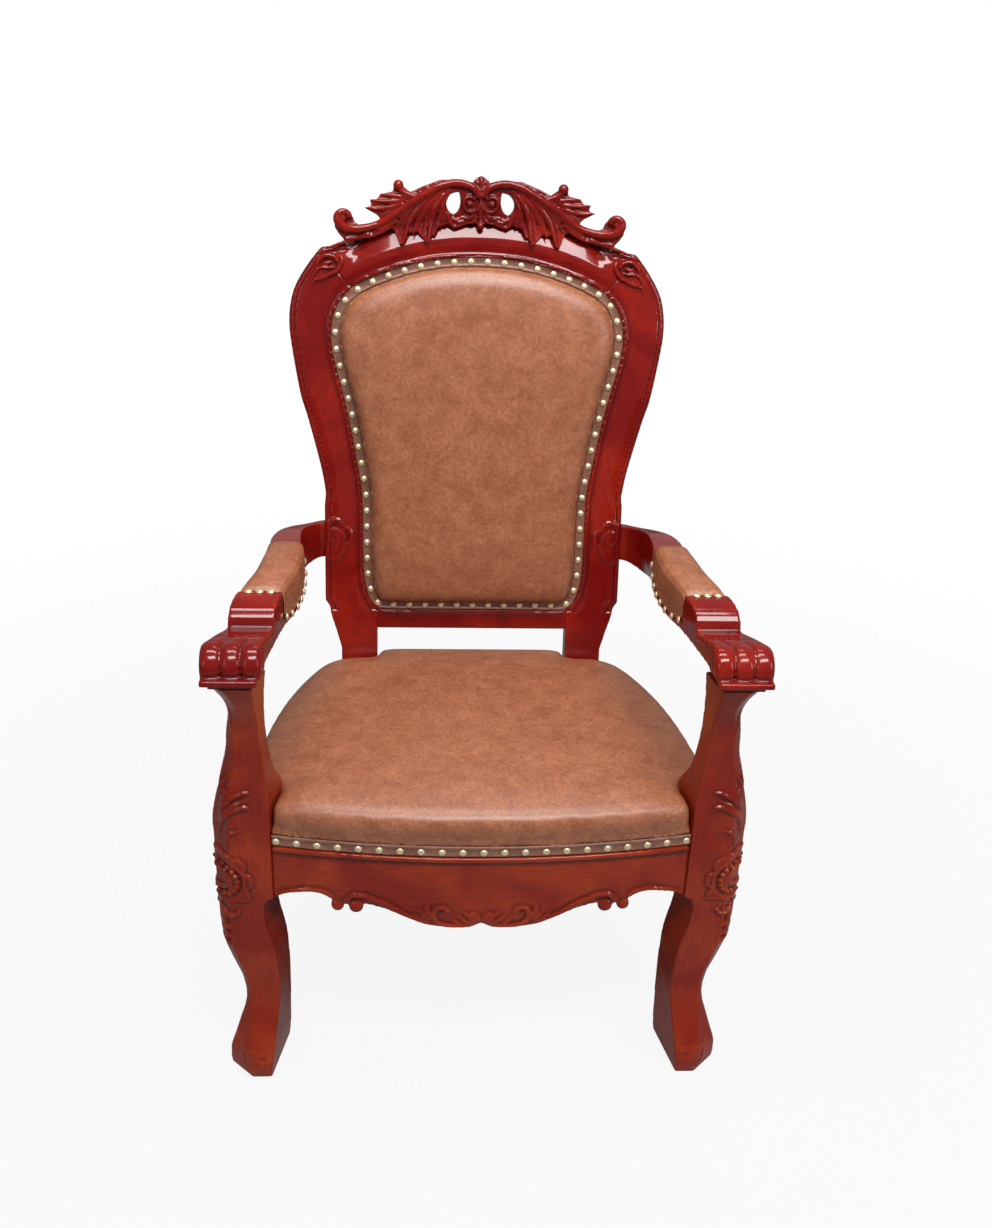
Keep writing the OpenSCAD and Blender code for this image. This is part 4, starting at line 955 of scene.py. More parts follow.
def petals(share, radius, lift, steps):
    """The wavy outline of the flower, or part of the way to it from the inner ring."""
    out = []
    for i in range(steps + 1):
        angle = 2 * math.pi * i / steps
        wave = 1 - PETAL_DEPTH * (0.5 - 0.5 * math.cos(PETALS * angle)) ** 2
        across, up = (PETAL_IN + (half * wave - PETAL_IN) * share for half in (PETAL_X, PETAL_Z))
        out.append((*round_knee(angle, across, up), radius, lift))
    return out


FLOWER = [petals(1, 2.3, 1.5, 96), ring(15.0, 3.4, 1.1), ring(PETAL_IN, 1.7, 1.7)]
PETAL_RINGS = [petals(share, 4.0, -2.0, 72)[:-1] for share in (0, 0.35, 0.7, 1)]
PETAL_FILL = [list(line) for line in zip(*PETAL_RINGS)]
BEAD_RING = 25.5
BEADS = 20
BEAD_SIZE = 3.4
BEAD_OUT = 2.5
LEG_VEINS = [
    [(3, 404, 1.0), (10, 430, 2.2, 0.6), (22, 447, 2.6, 0.9), (34, 454, 2.4, 0.8), (44, 448, 1.0)],
    [(5, 414, 1.0), (12, 440, 1.8, 0.6), (22, 456, 2.0, 0.7), (32, 463, 0.8)],
    [(4, 428, 1.0), (12, 455, 2.0, 0.6), (22, 471, 2.4, 0.8), (37, 481, 0.9)],
    [(6, 440, 1.0), (14, 466, 1.6, 0.6), (24, 482, 0.7)],
    [(4, 450, 1.0), (12, 474, 2.0, 0.6), (24, 492, 2.2, 0.8), (35, 504, 0.8)],
    [(8, 446, 1.0), (12, 480, 1.8, 0.6), (15, 520, 1.6, 0.5), (15, 560, 1.4, 0.4), (15, 598, 0.8)],
    [(4, 374, 1.2), (10, 378, 2.2, 0.8), (17, 376, 2.4, 0.8), (23, 369, 1.4)],
    [(14, 386, 1.2), (15, 402, 2.0, 0.6), (21, 414, 2.0, 0.5), (30, 418, 0.8)],
]
LEG_LEAF = [
    [(7, 290, 1.6), (11, 277, 3.2, 1.0), (13, 261, 3.0, 1.0), (13, 240, 2.4, 0.7), (10, 220, 0.9)],
    [(10, 288, 1.8), (17, 279, 3.4, 1.3), (26, 279, 3.2, 1.3), (31, 286, 2.0, 0.6)],
    [(6, 270, 1.8), (14, 259, 3.0, 1.0), (24, 254, 1.8, 0.5)],
    [(6, 255, 1.8), (14, 244, 2.8, 1.0), (23, 238, 1.6, 0.5)],
    [(6, 240, 1.6), (13, 230, 2.4, 0.8), (20, 223, 1.2, 0.4)],
]
TOE = [
    [(-13, 62, 1.0), (-11, 48, 2.0, 0.4), (-12, 34, 2.4, 0.6), (-9, 20, 2.6, 0.6), (0, 13, 2.8, 0.6),
     (10, 16, 2.6, 0.6), (14, 25, 2.6, 0.8), (9, 34, 2.4, 0.8), (0, 34, 2.2, 0.8), (-3, 27, 2.0, 0.8),
     (2, 23, 1.8, 0.8)],
    [(-12, 44, 1.2, 0.4), (-3, 41, 2.2, 0.8), (6, 45, 1.6, 0.4), (9, 51, 0.9)],
]
FOOT_CENTRE = 316
TOE_UP = 4
VEIN_DROP = 14
LEAF_DROP = 11
LEAF_SPREAD = 1.25
BOLD_WIDTH = 0.3
BOLD_LIFT = 0.9


def dropped(drawing, drop, spread=1.0):
    """The drawing moved down, spread across and made bolder."""
    return [[(across * spread, up - drop, radius + BOLD_WIDTH, sum(lift) + BOLD_LIFT)
             for across, up, radius, *lift in line] for line in drawing]


LEG_LINES = both_sides(dropped(LEG_VEINS, VEIN_DROP) + dropped(LEG_LEAF, LEAF_DROP, LEAF_SPREAD))


def post_relief(side, name):
    """The flower, its petals' ground, the veins, leaf and toe scroll, and the ring of beads."""
    def relief(bm):
        tree = soft_tree("front_post_" + name)
        start, aim = corner_frame(tree, side)

        def before_toe(across, height):
            return Vector((side * (FOOT_CENTRE - across) * MM, AHEAD_Y, (height + TOE_UP) * MM))

        strokes = laid(tree, FLOWER, start, aim, 1)
        strokes += laid(tree, PETAL_FILL, start, aim, 2)
        strokes += laid(tree, LEG_LINES, start, aim)
        strokes += laid(tree, TOE, before_toe, TOWARDS_BACK)
        add_strokes(bm, strokes)
        for i in range(BEADS):
            spot = round_knee(2 * math.pi * i / BEADS, BEAD_RING, BEAD_RING)
            place = landing(tree, start(*spot), aim(*spot))
            if place:
                add_drop(bm, place - aim(*spot) * (BEAD_OUT * MM), (BEAD_SIZE * MM,) * 3)
    return relief


# %% [markdown]
# Between flower and foot the leg sweeps forward in one curve, and at its top it flares out to carry
# the hand's plate. The front is faired the way a spokeshave does it: each level moves to the mean
# of the levels above and below. The foot's lowest corners are worn round.

# %% Ankle, neck and foot
FAIR_LOW = 0.03
FAIR_HIGH = 0.24
FAIR_STEP = 0.003
FAIR_REACH = 11
FAIR_KEPT = 0.012
FAIR_DEPTH = 0.03
LEG_X = 0.308
NECK_LOW = 0.572
NECK_HIGH = 0.627
NECK_FLARE = 0.014
WORN_PASSES = 12
WORN_LOW = 0.05
WORN_STEP = 0.008


def fair_ankle(bm, side):
    """Runs the front of the ankle in one sweep."""
    tree = BVHTree.FromBMesh(bm)
    count = round((FAIR_HIGH - FAIR_LOW) / FAIR_STEP)
    fronts = [landing(tree, Vector((side * LEG_X, AHEAD_Y, FAIR_LOW + FAIR_STEP * i)), TOWARDS_BACK).y
              for i in range(count + 1)]
    moves = []
    for i, front in enumerate(fronts):
        reach = min(FAIR_REACH, i, count - i)
        levels = fronts[i - reach:i + reach + 1]
        moves.append((sum(levels) / len(levels) - front, front))
    for v in bm.verts:
        if FAIR_LOW < v.co.z < FAIR_HIGH:
            move, front = moves[min(count, round((v.co.z - FAIR_LOW) / FAIR_STEP))]
            v.co.y += move * fading(v.co.y - front, FAIR_KEPT, FAIR_DEPTH)


def flare_neck(bm, side):
    """Widens the top of the leg outwards to the plate of the hand."""
    necks = [abs(v.co.x) for v in bm.verts if v.co.z > NECK_LOW]
    inner, outer = min(necks), max(necks)
    for v in bm.verts:
        up = max(0.0, (v.co.z - NECK_LOW) / (NECK_HIGH - NECK_LOW))
        v.co.x += side * NECK_FLARE * up * up * ease((abs(v.co.x) - inner) / (outer - inner))


def leg_shape(bm):
    side = 1 if next(iter(bm.verts)).co.x > 0 else -1
    fair_ankle(bm, side)
    flare_neck(bm, side)
    for i in range(WORN_PASSES):
        rub(bm, [v for v in bm.verts if v.co.z < WORN_LOW + WORN_STEP * i], 1)


for side, name in ((1, "left"), (-1, "right")):
    carved("front_post_" + name, LOWER["Z"], 0.00144, 2, post_relief(side, name), leg_shape)

# %% [markdown]
# The front rail's lower edge is cut in scallops, and a bead follows it: up the arch, round two
# knobs and down to small leaf scrolls in the middle. Its top edge is a plain rounded lip.

# %% The front rail
RAIL_LIP = 375.2
RAIL = [
    [(274, 299, 2.0, 0.2), (260, 306.5, 2.4, 0.4), (243, 311, 2.8, 0.6), (225, 314.5, 3.0, 0.8),
     (206, 312, 2.8, 0.8), (198, 305, 1.8, 0.4)],
    [(180, 295, 1.6), (178, 304, 2.8, 0.8), (170, 311, 3.4, 1.2), (160, 312, 3.4, 1.2), (148, 309, 3.4, 1.2),
     (125, 299, 3.2, 1.1), (108, 288, 3.0, 0.9), (92, 280, 2.6, 0.7), (77, 273, 2.2, 0.4), (62, 268.5, 1.6)],
    [(45, 291, 3.0, 1.4), (50, 297, 2.6, 1.0), (59, 296, 2.4, 1.0), (64, 288, 2.4, 0.9), (62, 278, 2.6, 1.0),
     (54, 271, 2.8, 1.0), (40, 268, 2.6, 0.8), (22, 268, 1.8, 0.4)],
    [(84, 294, 0.9), (77, 285, 2.8, 0.8), (68, 276, 1.8, 0.4)],
    [(91, 287, 0.9), (83, 279, 2.6, 0.8), (72, 273, 1.6, 0.4)],
    [(72, 302, 0.9), (72, 292, 2.8, 0.8), (66, 281, 1.8, 0.4)],
    spiral(10, 279, 6.5, 1.1, math.radians(200), -1, 2.2, 1.6, 0.8),
    [(25, 291, 0.9), (18, 285, 2.2, 0.7), (10, 287, 2.2, 0.7), (3, 282, 1.6, 0.4)],
    [(31, 285, 0.9), (25, 278, 2.2, 0.7), (15, 272, 1.6, 0.4)],
    [(38, 279, 0.9), (33, 273, 2.2, 0.7), (24, 268, 1.4, 0.4)],
]
RAIL_TOP = [[(x, RAIL_LIP, 4.4, 1.6) for x in range(-275, 276, 11)]]
RAIL_KNOBS = [(46, 290, 4.0), (10, 279, 3.0), (191, 292, 7.5), (166.5, 293, 9.0)]
KNOB_FLATNESS = 0.55


def before_front(across, height):
    return Vector((across * MM, AHEAD_Y, height * MM))


def rail_relief(bm):
    tree = BVHTree.FromBMesh(bm)
    add_strokes(bm, laid(tree, both_sides(RAIL) + RAIL_TOP, before_front, TOWARDS_BACK))
    for x, z, size in RAIL_KNOBS:
        for side in (-1, 1):
            place = landing(tree, before_front(side * x, z), TOWARDS_BACK)
            if place:
                add_drop(bm, place, (size * MM, KNOB_FLATNESS * size * MM, size * MM))


carved("front_seat_rail", LOWER["X"], 0.0019, 2, rail_relief)
for name, axis in (("side_seat_rail_left", "Y"), ("side_seat_rail_right", "Y"), ("back_seat_rail", "X")):
    carved(name, LOWER[axis], 0.003, 2)

# %% [markdown]
# Each arm ends in a hand: three fingers folded over a small plate, a spiral on the inner side and
# a stepped block where the leather starts. The construction has the fingers as plain rolls. Here
# their edges are filled, so that the grooves between them are narrow, and each runs back up the
# hand like a tendon. The plate's underside is hollowed, and the back of the hand is rubbed smooth.

# %% The arms
ROLL_END = Vector((0.3425, -0.301, 0.6325))
ROLL_END_R = 0.007
ARM_SCROLL = [spiral(-278, 652, 13, 1.6, math.radians(60), 1, 1.8, 1.0, 0.3)]
HAND_AXIS_Y = -280.0
HAND_AXIS_Z = 650.0
HAND_END_Y = -210.0
INNER_SHIFT = -5.0
OUTER_SHIFT = -24.0
FINGERS = 3
LOBE_R = 27.0
EDGE_R = 5.2
EDGE_GAP = 0.8
EDGE_FIRST = 195
EDGE_STEP = 13
EDGE_POINTS = 15
BACK_R = 11.0
BACK_PROUD = 0.3
TENDON = [(-286, 676.2, 6.0), (-278, 677.0, 6.0), (-268, 676.4, 5.6), (-258, 674.6, 4.4), (-248, 672.0, 2.8),
          (-236, 668.6, 1.6), (-224, 665.8, 1.0), (-212, 664.0, 1.0)]
FRONT_Y = -0.3


def finger_edge(x):
    """A stroke round the front of a finger along one of its edges."""
    reach = LOBE_R - EDGE_R
    arc = []
    for step in range(EDGE_POINTS):
        angle = math.radians(EDGE_FIRST - EDGE_STEP * step)
        y = HAND_AXIS_Y + reach * math.cos(angle)
        z = HAND_AXIS_Z + reach * math.sin(angle)
        arc.append((Vector((x, y, z)) * MM, EDGE_R))
    return arc


def tendon(side, low, high, finger, sense):
    """A stroke back from a finger: sense -1 and 1 are its edges, 0 its middle."""
    run = []
    for y, top, gap in TENDON:
        t = max(0.0, (y - HAND_AXIS_Y) / (HAND_END_Y - HAND_AXIS_Y))
        inner = low + INNER_SHIFT * t
        share = (high + OUTER_SHIFT * t - inner) / FINGERS
        x = inner + share * (finger + 0.5) + sense * (share / 2 - gap)
        thick = EDGE_R if sense else min(BACK_R, share / 2)
        run.append((Vector((side * x, y, top - thick - BACK_PROUD * abs(sense))) * MM, thick))
    return run


def finger_work(bm, side):
    """Fills each finger's edges, so that the grooves are narrow, and runs it back up the hand."""
    tips = [abs(v.co.x) / MM for v in bm.verts if v.co.y < FRONT_Y and v.co.z > 0.655]
    low, high = min(tips), max(tips)
    width = (high - low) / FINGERS
    edge = width / 2 - EDGE_R - EDGE_GAP
    strokes = []
    for finger in range(FINGERS):
        middle = low + width * (finger + 0.5)
        strokes += [finger_edge(side * (middle + offset)) for offset in (-edge, edge)]
        strokes += [tendon(side, low, high, finger, sense) for sense in (-1, 0, 1)]
    add_strokes(bm, strokes)


PLATE_PULL = 0.24
PLATE_MIDDLE_Y = -0.270
PLATE_TOP = 0.6368
PLATE_DEPTH = 0.0068
PLATE_BACK = -0.236
PLATE_FADE = 0.014


def plate_cove(bm):
    """Hollows the underside of the plate to a cove, so that only its upper edge stands out."""
    rim = [abs(v.co.x) for v in bm.verts if v.co.y < FRONT_Y and v.co.z < 0.64]
    middle = (min(rim) + max(rim)) / 2
    for v in bm.verts:
        share = ease((PLATE_TOP - v.co.z) / PLATE_DEPTH) * ease((PLATE_BACK - v.co.y) / PLATE_FADE)
        if share > 0 and v.co.z > 0.6:
            side = 1 if v.co.x > 0 else -1
            v.co.x -= (v.co.x - side * middle) * PLATE_PULL * share
            v.co.y -= (v.co.y - PLATE_MIDDLE_Y) * PLATE_PULL * share


def hand_shape(bm):
    plate_cove(bm)
    rub(bm, [v for v in bm.verts if v.co.y < -0.206 and v.co.z > 0.652 and v.normal.z > 0.35], 7)


def arm_relief(side):
    def relief(bm):
        tree = BVHTree.FromBMesh(bm)
        finger_work(bm, side)

        def beside(across, height):
            return Vector((side * 0.20, across * MM, height * MM))

        add_strokes(bm, laid(tree, ARM_SCROLL, beside, Vector((side, 0, 0))))
        add_drop(bm, Vector((side * ROLL_END.x, ROLL_END.y, ROLL_END.z)), (ROLL_END_R,) * 3)
    return relief


for side, name in ((1, "left"), (-1, "right")):
    carved("arm_" + name, UPPER["Y"], 0.0016, 2, arm_relief(side), hand_shape)


# %% [markdown]
# The cushions are leather pulled over foam and nailed down all round, so they are full in the
# middle and tight at the edge. Air pressure in a cloth simulation gives that swell: the nailed edge
# is pinned, and no point may move further than the leather would stretch. The seat's lower edge is
# tucked behind the strip, which hides it.

# %% Cushions
FOAM_GROWTH = 0.0012
LEATHER_T = 0.0016
LEATHER_SHARE = 0.4
OUTER_NEAR = 0.008
RIM_HEIGHT = 0.006
RIM_LEVEL = 0.6
RIM_REACH = 0.02
RIM_PROUD = 0.0011
RIM_TUCK = 0.0006
SEAT_RIM_DROP = 0.0015
STRIP_BELOW = 0.004
SWELL_LIMIT = 0.007
SWELL_FRAMES = 20


def outer_shell(name):
    """A search tree over the outside of a cover, without the wall of its hollow."""
    bm = solid_of(name)
    parts = loose_parts(bm)
    size = [max(p.x for p in part) - min(p.x for p in part) for part in parts]
    outer = {tuple(round(c, 6) for c in p) for p in parts[size.index(max(size))]}
    inner = [v for v in bm.verts if tuple(round(c, 6) for c in v.co) not in outer]
    bmesh.ops.delete(bm, geom=inner, context="VERTS")
    tree = BVHTree.FromBMesh(bm)
    bm.free()
    return tree


def stuffed(cover, inside, voxel):
    """The cover and what it is drawn over, as one skin."""
    bm = solid_of(cover)
    for part in inside:
        skin = solid_of(part)
        skin.normal_update()
        for v in skin.verts:
            v.co += v.normal * FOAM_GROWTH
        part_mesh = mesh_from(skin)
        bm.from_mesh(part_mesh)
        bpy.data.meshes.remove(part_mesh)
    return fused(bm, voxel)


def tuck(v, outside, strip, rim_z):
    """Draws a point of the seat's lower edge straight down, and behind the strip where it has one."""
    edge = outside.find_nearest(Vector((v.co.x, v.co.y, rim_z + RIM_LEVEL * RIM_HEIGHT)), RIM_REACH)
    if edge[0] is not None:
        out = edge[1] if abs(edge[1].z) < 0.5 else Vector((0, 0, 0))
        v.co = Vector((edge[0].x, edge[0].y, rim_z)) + out * RIM_PROUD
    face = strip.find_nearest(Vector((v.co.x, v.co.y, rim_z - STRIP_BELOW)), OUTER_NEAR)
    if face[0] is not None and abs(face[1].z) < 0.5:
        v.co = Vector((face[0].x, face[0].y, rim_z - SEAT_RIM_DROP)) - face[1] * RIM_TUCK


def swell(mesh, pins):
    """Blows the leather up from inside as a cloth that is held at its nails."""
    start = [v.co.copy() for v in mesh.vertices]
    work = bpy.data.objects.new("work", mesh)
    bpy.context.scene.collection.objects.link(work)
    work.vertex_groups.new(name="nailed").add(pins, 1.0, "REPLACE")
    modifier = work.modifiers.new("Cloth", "CLOTH")
    cloth = modifier.settings
    cloth.use_pressure = True
    cloth.uniform_pressure_force = 4.0
    cloth.vertex_group_mass = "nailed"
    cloth.effector_weights.gravity = 0.0
    cloth.tension_stiffness = 40
    cloth.compression_stiffness = 40
    cloth.bending_stiffness = 2.0
    cloth.quality = 5
    modifier.point_cache.frame_start = 1
    modifier.point_cache.frame_end = SWELL_FRAMES
    for number in range(1, SWELL_FRAMES + 1):
        bpy.context.scene.frame_set(number)
    swollen = work.evaluated_get(bpy.context.evaluated_depsgraph_get()).data
    for v, old, new in zip(mesh.vertices, start, swollen.vertices):
        move = new.co - old
        if move.length > SWELL_LIMIT:
            move *= SWELL_LIMIT / move.length
        v.co = old + move
    bpy.data.objects.remove(work)
    bpy.context.scene.frame_set(1)


def cushion(name, cover, inside, pinned, voxel, passes, rim_z=None):
    """A leather cushion from its construction solid, swollen by pressure where it isn't nailed."""
    bm = stuffed(cover, inside, voxel)
    pins = [v.index for v in bm.verts if pinned(v.co)]
    held = set(pins)
    rub(bm, [v for v in bm.verts if v.index not in held], passes)
    outside = outer_shell(cover)
    strip = tree_of("seat_trim_band")
    for v in bm.verts:
        skin = outside.find_nearest(v.co, OUTER_NEAR)[0]
        if v.index in held and skin is not None:
            v.co = skin
        if rim_z is not None and v.co.z < rim_z + RIM_HEIGHT:
            tuck(v, outside, strip, rim_z)
    mesh = mesh_from(bm)
    swell(mesh, pins)
    mesh = with_modifiers(mesh, ("SUBSURF", {"levels": 1, "render_levels": 1}),
                          ("SOLIDIFY", {"thickness": LEATHER_T, "offset": -1.0}),
                          ("DECIMATE", {"ratio": LEATHER_SHARE}))
    piece = finished(name, mesh, HIDE_BROWN, (cover,))
    return piece


SEAT_NAILED_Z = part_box("seat_trim_band")[1].z + 0.004
BACK_NAILED_Y = 0.0005


def seat_edge(place):
    return place.z < SEAT_NAILED_Z


def back_edge(place):
    return (FROM_BACK @ place).y > BACK_NAILED_Y


seat_cushion = cushion("seat_cushion", "seat_cover", ["seat_foam", "seat_board"], seat_edge, 0.0055, 20,
                       rim_z=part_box("seat_cover")[0].z)
back_cushion = cushion("back_cushion", "back_cover", ["back_foam"], back_edge, 0.006, 4)

# %% [markdown]
# The arm pads are small and hard, and the leather on them is thin against their size, so pressure
# would hardly move it. Their covers are made finer instead, with a dip at every nail.

# %% Arm pads
DIP_REACH = 0.011
DIP = 0.0012

for name in ("left", "right"):
    bm = fused(solid_of("arm_cover_" + name), 0.001)
    soften(bm, 3)
    bm.normal_update()
    heads = finder(nail_centres("arm_nails_" + name))
    for v in bm.verts:
        v.co -= v.normal * (DIP * (1 - ease(heads.find(v.co)[2] / DIP_REACH)))
    bmesh.ops.recalc_face_normals(bm, faces=bm.faces)
    pad_mesh = with_modifiers(mesh_from(bm), ("DECIMATE", {"ratio": LEATHER_SHARE}))
    pad = finished("arm_cushion_" + name, pad_mesh, HIDE_BROWN, ("arm_cover_" + name,))

# %% [markdown]
# The seat's board has its corners and edges rounded before the leather goes over it, because a
# sharp edge would cut the leather.

# %% Seat board
bm = fused(solid_of("seat_board"), 0.006)
soften(bm, 4)
bmesh.ops.recalc_face_normals(bm, faces=bm.faces)
finished("seat_board_sanded", mesh_from(bm), PINE, ("seat_board",))

# %% [markdown]
# Under the leather the foam is a plain block with soft corners. It is made a little smaller than
# the space inside, so that the leather never lets it through.

# %% Foam cores
CORE_GAP = 0.0035
CORE_SEEN = 0.01


def foam_core(name, foam, leather, voxel, passes):
    bm = fused(solid_of(foam), voxel)
    soften(bm, passes)
    bm.normal_update()
    skin = bmesh.new()
    skin.from_mesh(leather.data)
    over = BVHTree.FromBMesh(skin)
    skin.free()
    for v in bm.verts:
        v.co -= v.normal * CORE_GAP
        skin_place, outwards, _, reach = over.find_nearest(v.co)
        if reach < CORE_GAP or (v.co - skin_place).dot(outwards) > 0 and reach < CORE_SEEN:
            v.co -= v.normal * CORE_GAP
    piece = finished(name, mesh_from(bm), FOAM, (foam,))


foam_core("seat_core", "seat_foam", seat_cushion, 0.009, 9)
foam_core("back_core", "back_foam", back_cushion, 0.009, 3)
for name in ("left", "right"):
    foam_core("arm_core_" + name, "arm_pad_" + name, bpy.data.objects["arm_cushion_" + name], 0.004, 3)

# %% [markdown]
# A strip of darker leather hides the cut edge of each cover, and the nails go through it. The seat's
# and the back's strips have a rolled edge on both sides, laid on the construction's own strip, and the
# one behind stays plain. The seat's strip is cut narrower first, to the width that the photograph shows.

# %% Trim bands
BAND_TOP = 0.3962
BAND_LOW = 0.3808
ROLL_R = 1.5
ROLL_IN = 0.0014
ROLL_SAG = 0.0018
SAG_REACH = 0.0115
STRIP_SPAN = 0.31
STRIP_POINTS = 310
STRIP_OUTSIDE = 0.6
ROLL_BREAK = 0.006
BACK_ROLL_OUT = 5.6
BACK_ROLL_R = 1.4
BACK_STRIP_DEPTH = 8.0


def sliced(bm, place, normal, **cut):
    """Cuts a mesh all through along a plane."""
    everything = bm.verts[:] + bm.edges[:] + bm.faces[:]
    return bmesh.ops.bisect_plane(bm, geom=everything, plane_co=place, plane_no=normal, **cut)


def strip_runs(tree, heads, direction, edge, sag):
    """One roll as seen in one direction: the stretches where the strip is met, sagging off the nails."""
    sideways = Vector((abs(direction.y), abs(direction.x), 0))
    runs = [[]]
    for i in range(STRIP_POINTS + 1):
        along = -STRIP_SPAN + 2 * STRIP_SPAN * i / STRIP_POINTS
        start = sideways * along + Vector((0, 0, edge))
        place = landing(tree, start - direction * STRIP_OUTSIDE, direction)
        if place is None or abs(place.z - edge) > 0.001:
            runs.append([])
            continue
        place.z -= sag * ease(min((head - place.xy).length for head in heads) / SAG_REACH)
        if runs[-1] and (place - runs[-1][-1][0]).length > ROLL_BREAK:
            runs.append([])
        runs[-1].append((place, ROLL_R))
    return [run for run in runs if len(run) > 1]


def seat_rolls(bm):
    """Two rolls along the strip, the upper one sagging between the nails."""
    tree = BVHTree.FromBMesh(bm)
    heads = [place.xy for place in nail_centres("seat_nails")]
    rolls = []
    for direction in (Vector((0, 1, 0)), Vector((0, -1, 0)), Vector((-1, 0, 0)), Vector((1, 0, 0))):
        rolls += strip_runs(tree, heads, direction, BAND_TOP - ROLL_IN, ROLL_SAG)
        rolls += strip_runs(tree, heads, direction, BAND_LOW + ROLL_IN, 0.0)
    for edge, away in ((BAND_TOP, 1), (BAND_LOW, -1)):
        cut = sliced(bm, (0, 0, edge), (0, 0, away), clear_outer=True)["geom_cut"]
        bmesh.ops.holes_fill(bm, edges=[e for e in cut if isinstance(e, bmesh.types.BMEdge)])
    add_strokes(bm, rolls)


def back_rolls(bm):
    tree = BVHTree.FromBMesh(bm)
    for out in (-BACK_ROLL_OUT, BACK_ROLL_OUT):
        add_strokes(bm, runs_on(tree, moved_ring(PANEL, out), BACK_ROLL_R, 0.0, BACK_STRIP_DEPTH))


def trimmed(name, voxel, rolls=None):
    bm = solid_of(name)
    if rolls:
        rolls(bm)
    bm = fused(bm, voxel)
    soften(bm, 2)
    bmesh.ops.recalc_face_normals(bm, faces=bm.faces)
    finished(name + "_rolled", mesh_from(bm), HIDE_TRIM, (name,))


trimmed("seat_trim_band", 0.0012, seat_rolls)
trimmed("back_trim_band", 0.0012, back_rolls)
trimmed("rear_trim_band", 0.0018)

# %% [markdown]
# The back of the chair is closed by a plain leather panel over thin wadding. It stands out a few
# millimetres in the middle and is flat at its nailed edge.

# %% Rear panel
REAR_SWELL = 0.0035
REAR_REACH = 0.09
REAR_CELL = 0.025
UP_BACK = Vector((0, math.sin(LEAN), math.cos(LEAN)))

bm = solid_of("rear_cover")
for step in range(-10, 30):
    for place, normal in ((Vector((step * REAR_CELL, 0, 0)), Vector((1, 0, 0))),
                          (on_back(0, step * REAR_CELL / MM), UP_BACK)):
        sliced(bm, place, normal)
bm.normal_update()
rear_edge = finder([TO_BACK @ Vector((x * MM, 0, s * MM)) for x, s in ring_path("rear_nails")])
for v in bm.verts:
    if v.normal.dot(INTO_BACK) > 0.5:
        flat = FROM_BACK @ v.co
        from_nails = rear_edge.find(TO_BACK @ Vector((flat.x, 0, flat.z)))[2]
        v.co += INTO_BACK * (REAR_SWELL * ease(from_nails / REAR_REACH))
bmesh.ops.recalc_face_normals(bm, faces=bm.faces)
rear_panel = finished("rear_panel", mesh_from(bm), HIDE_BROWN, ("rear_cover",))

# %% [markdown]
# Under the seat a black non-woven cloth keeps the dust in. It is stapled to the rails and sags a
# little between them.

# %% Dust cloth
CLOTH_T = 0.0006
CLOTH_SAG = 0.004
CLOTH_CELL = 0.02
CLOTH_REACH = 0.12

bm = solid_of("dust_cover")
bm.normal_update()
bmesh.ops.delete(bm, geom=[f for f in bm.faces if f.normal.z < 0.9], context="FACES")
cloth_low, cloth_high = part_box("dust_cover")
cloth_area = sum(f.calc_area() for f in bm.faces)
for axis, normal in enumerate((Vector((1, 0, 0)), Vector((0, 1, 0)))):
    cut = cloth_low[axis] + CLOTH_CELL
    while cut < cloth_high[axis]:
        sliced(bm, normal * cut, normal)
        cut += CLOTH_CELL
stapled = finder([v.co.copy() for v in bm.verts if v.is_boundary])
for v in bm.verts:
    v.co.z -= CLOTH_SAG * ease(stapled.find(v.co)[2] / CLOTH_REACH)
cloth_mesh = with_modifiers(mesh_from(bm), ("SOLIDIFY", {"thickness": CLOTH_T, "offset": -1.0}))
dust_cloth = finished("dust_cloth", cloth_mesh, WEAVE, ("dust_cover",))


# %% [markdown]
# Upholstery nails have thin domed heads of brassed steel. Each head is the cap of a sphere on a
# short shank, with few faces because there are so many. They stand exactly where the construction
# has them.

# %% Nails
HEAD_R = 0.0054
HEAD_H = 0.0032
HEAD_SUNK = 0.0026
SHANK_R = 0.0008
SHANK_TIP = 0.4
SHANK_L = 0.010


def nail_heads(name):
    bm = bmesh.new()
    for top, facing in nails_of(name):
        turn = facing.to_track_quat("Z", "Y").to_matrix().to_4x4()
        foot = Matrix.Translation(top - facing * HEAD_SUNK) @ turn
        dome = bmesh.ops.create_uvsphere(bm, u_segments=14, v_segments=8, radius=1.0)["verts"]
        below = [v for v in dome if v.co.z < -0.01]
        bmesh.ops.delete(bm, geom=below, context="VERTS")
        dome = [v for v in dome if v.is_valid]
        rim = [e for e in {e for v in dome for e in v.link_edges} if e.is_boundary]
        bmesh.ops.contextual_create(bm, geom=rim)
        bmesh.ops.transform(bm, matrix=foot @ Matrix.Diagonal((HEAD_R, HEAD_R, HEAD_H, 1.0)), verts=dome)
        bmesh.ops.create_cone(bm, cap_ends=True, segments=6, radius1=SHANK_R * SHANK_TIP, radius2=SHANK_R,
                              depth=SHANK_L, matrix=foot @ Matrix.Translation((0, 0, -SHANK_L / 2)))
    bmesh.ops.recalc_face_normals(bm, faces=bm.faces)
    finished(name + "_domed", mesh_from(bm), BRASS, (name,))


for name in ("seat_nails", "back_nails", "rear_nails", "arm_nails_left", "arm_nails_right"):
    nail_heads(name)


# %% [markdown]
# Parts that stay as built get their own finish: zinc on the screws, raw pine on blocks, board and
# dowels, and plastic on the glides. They are seen only from below or not at all, but a chair that
# is taken apart shows them.

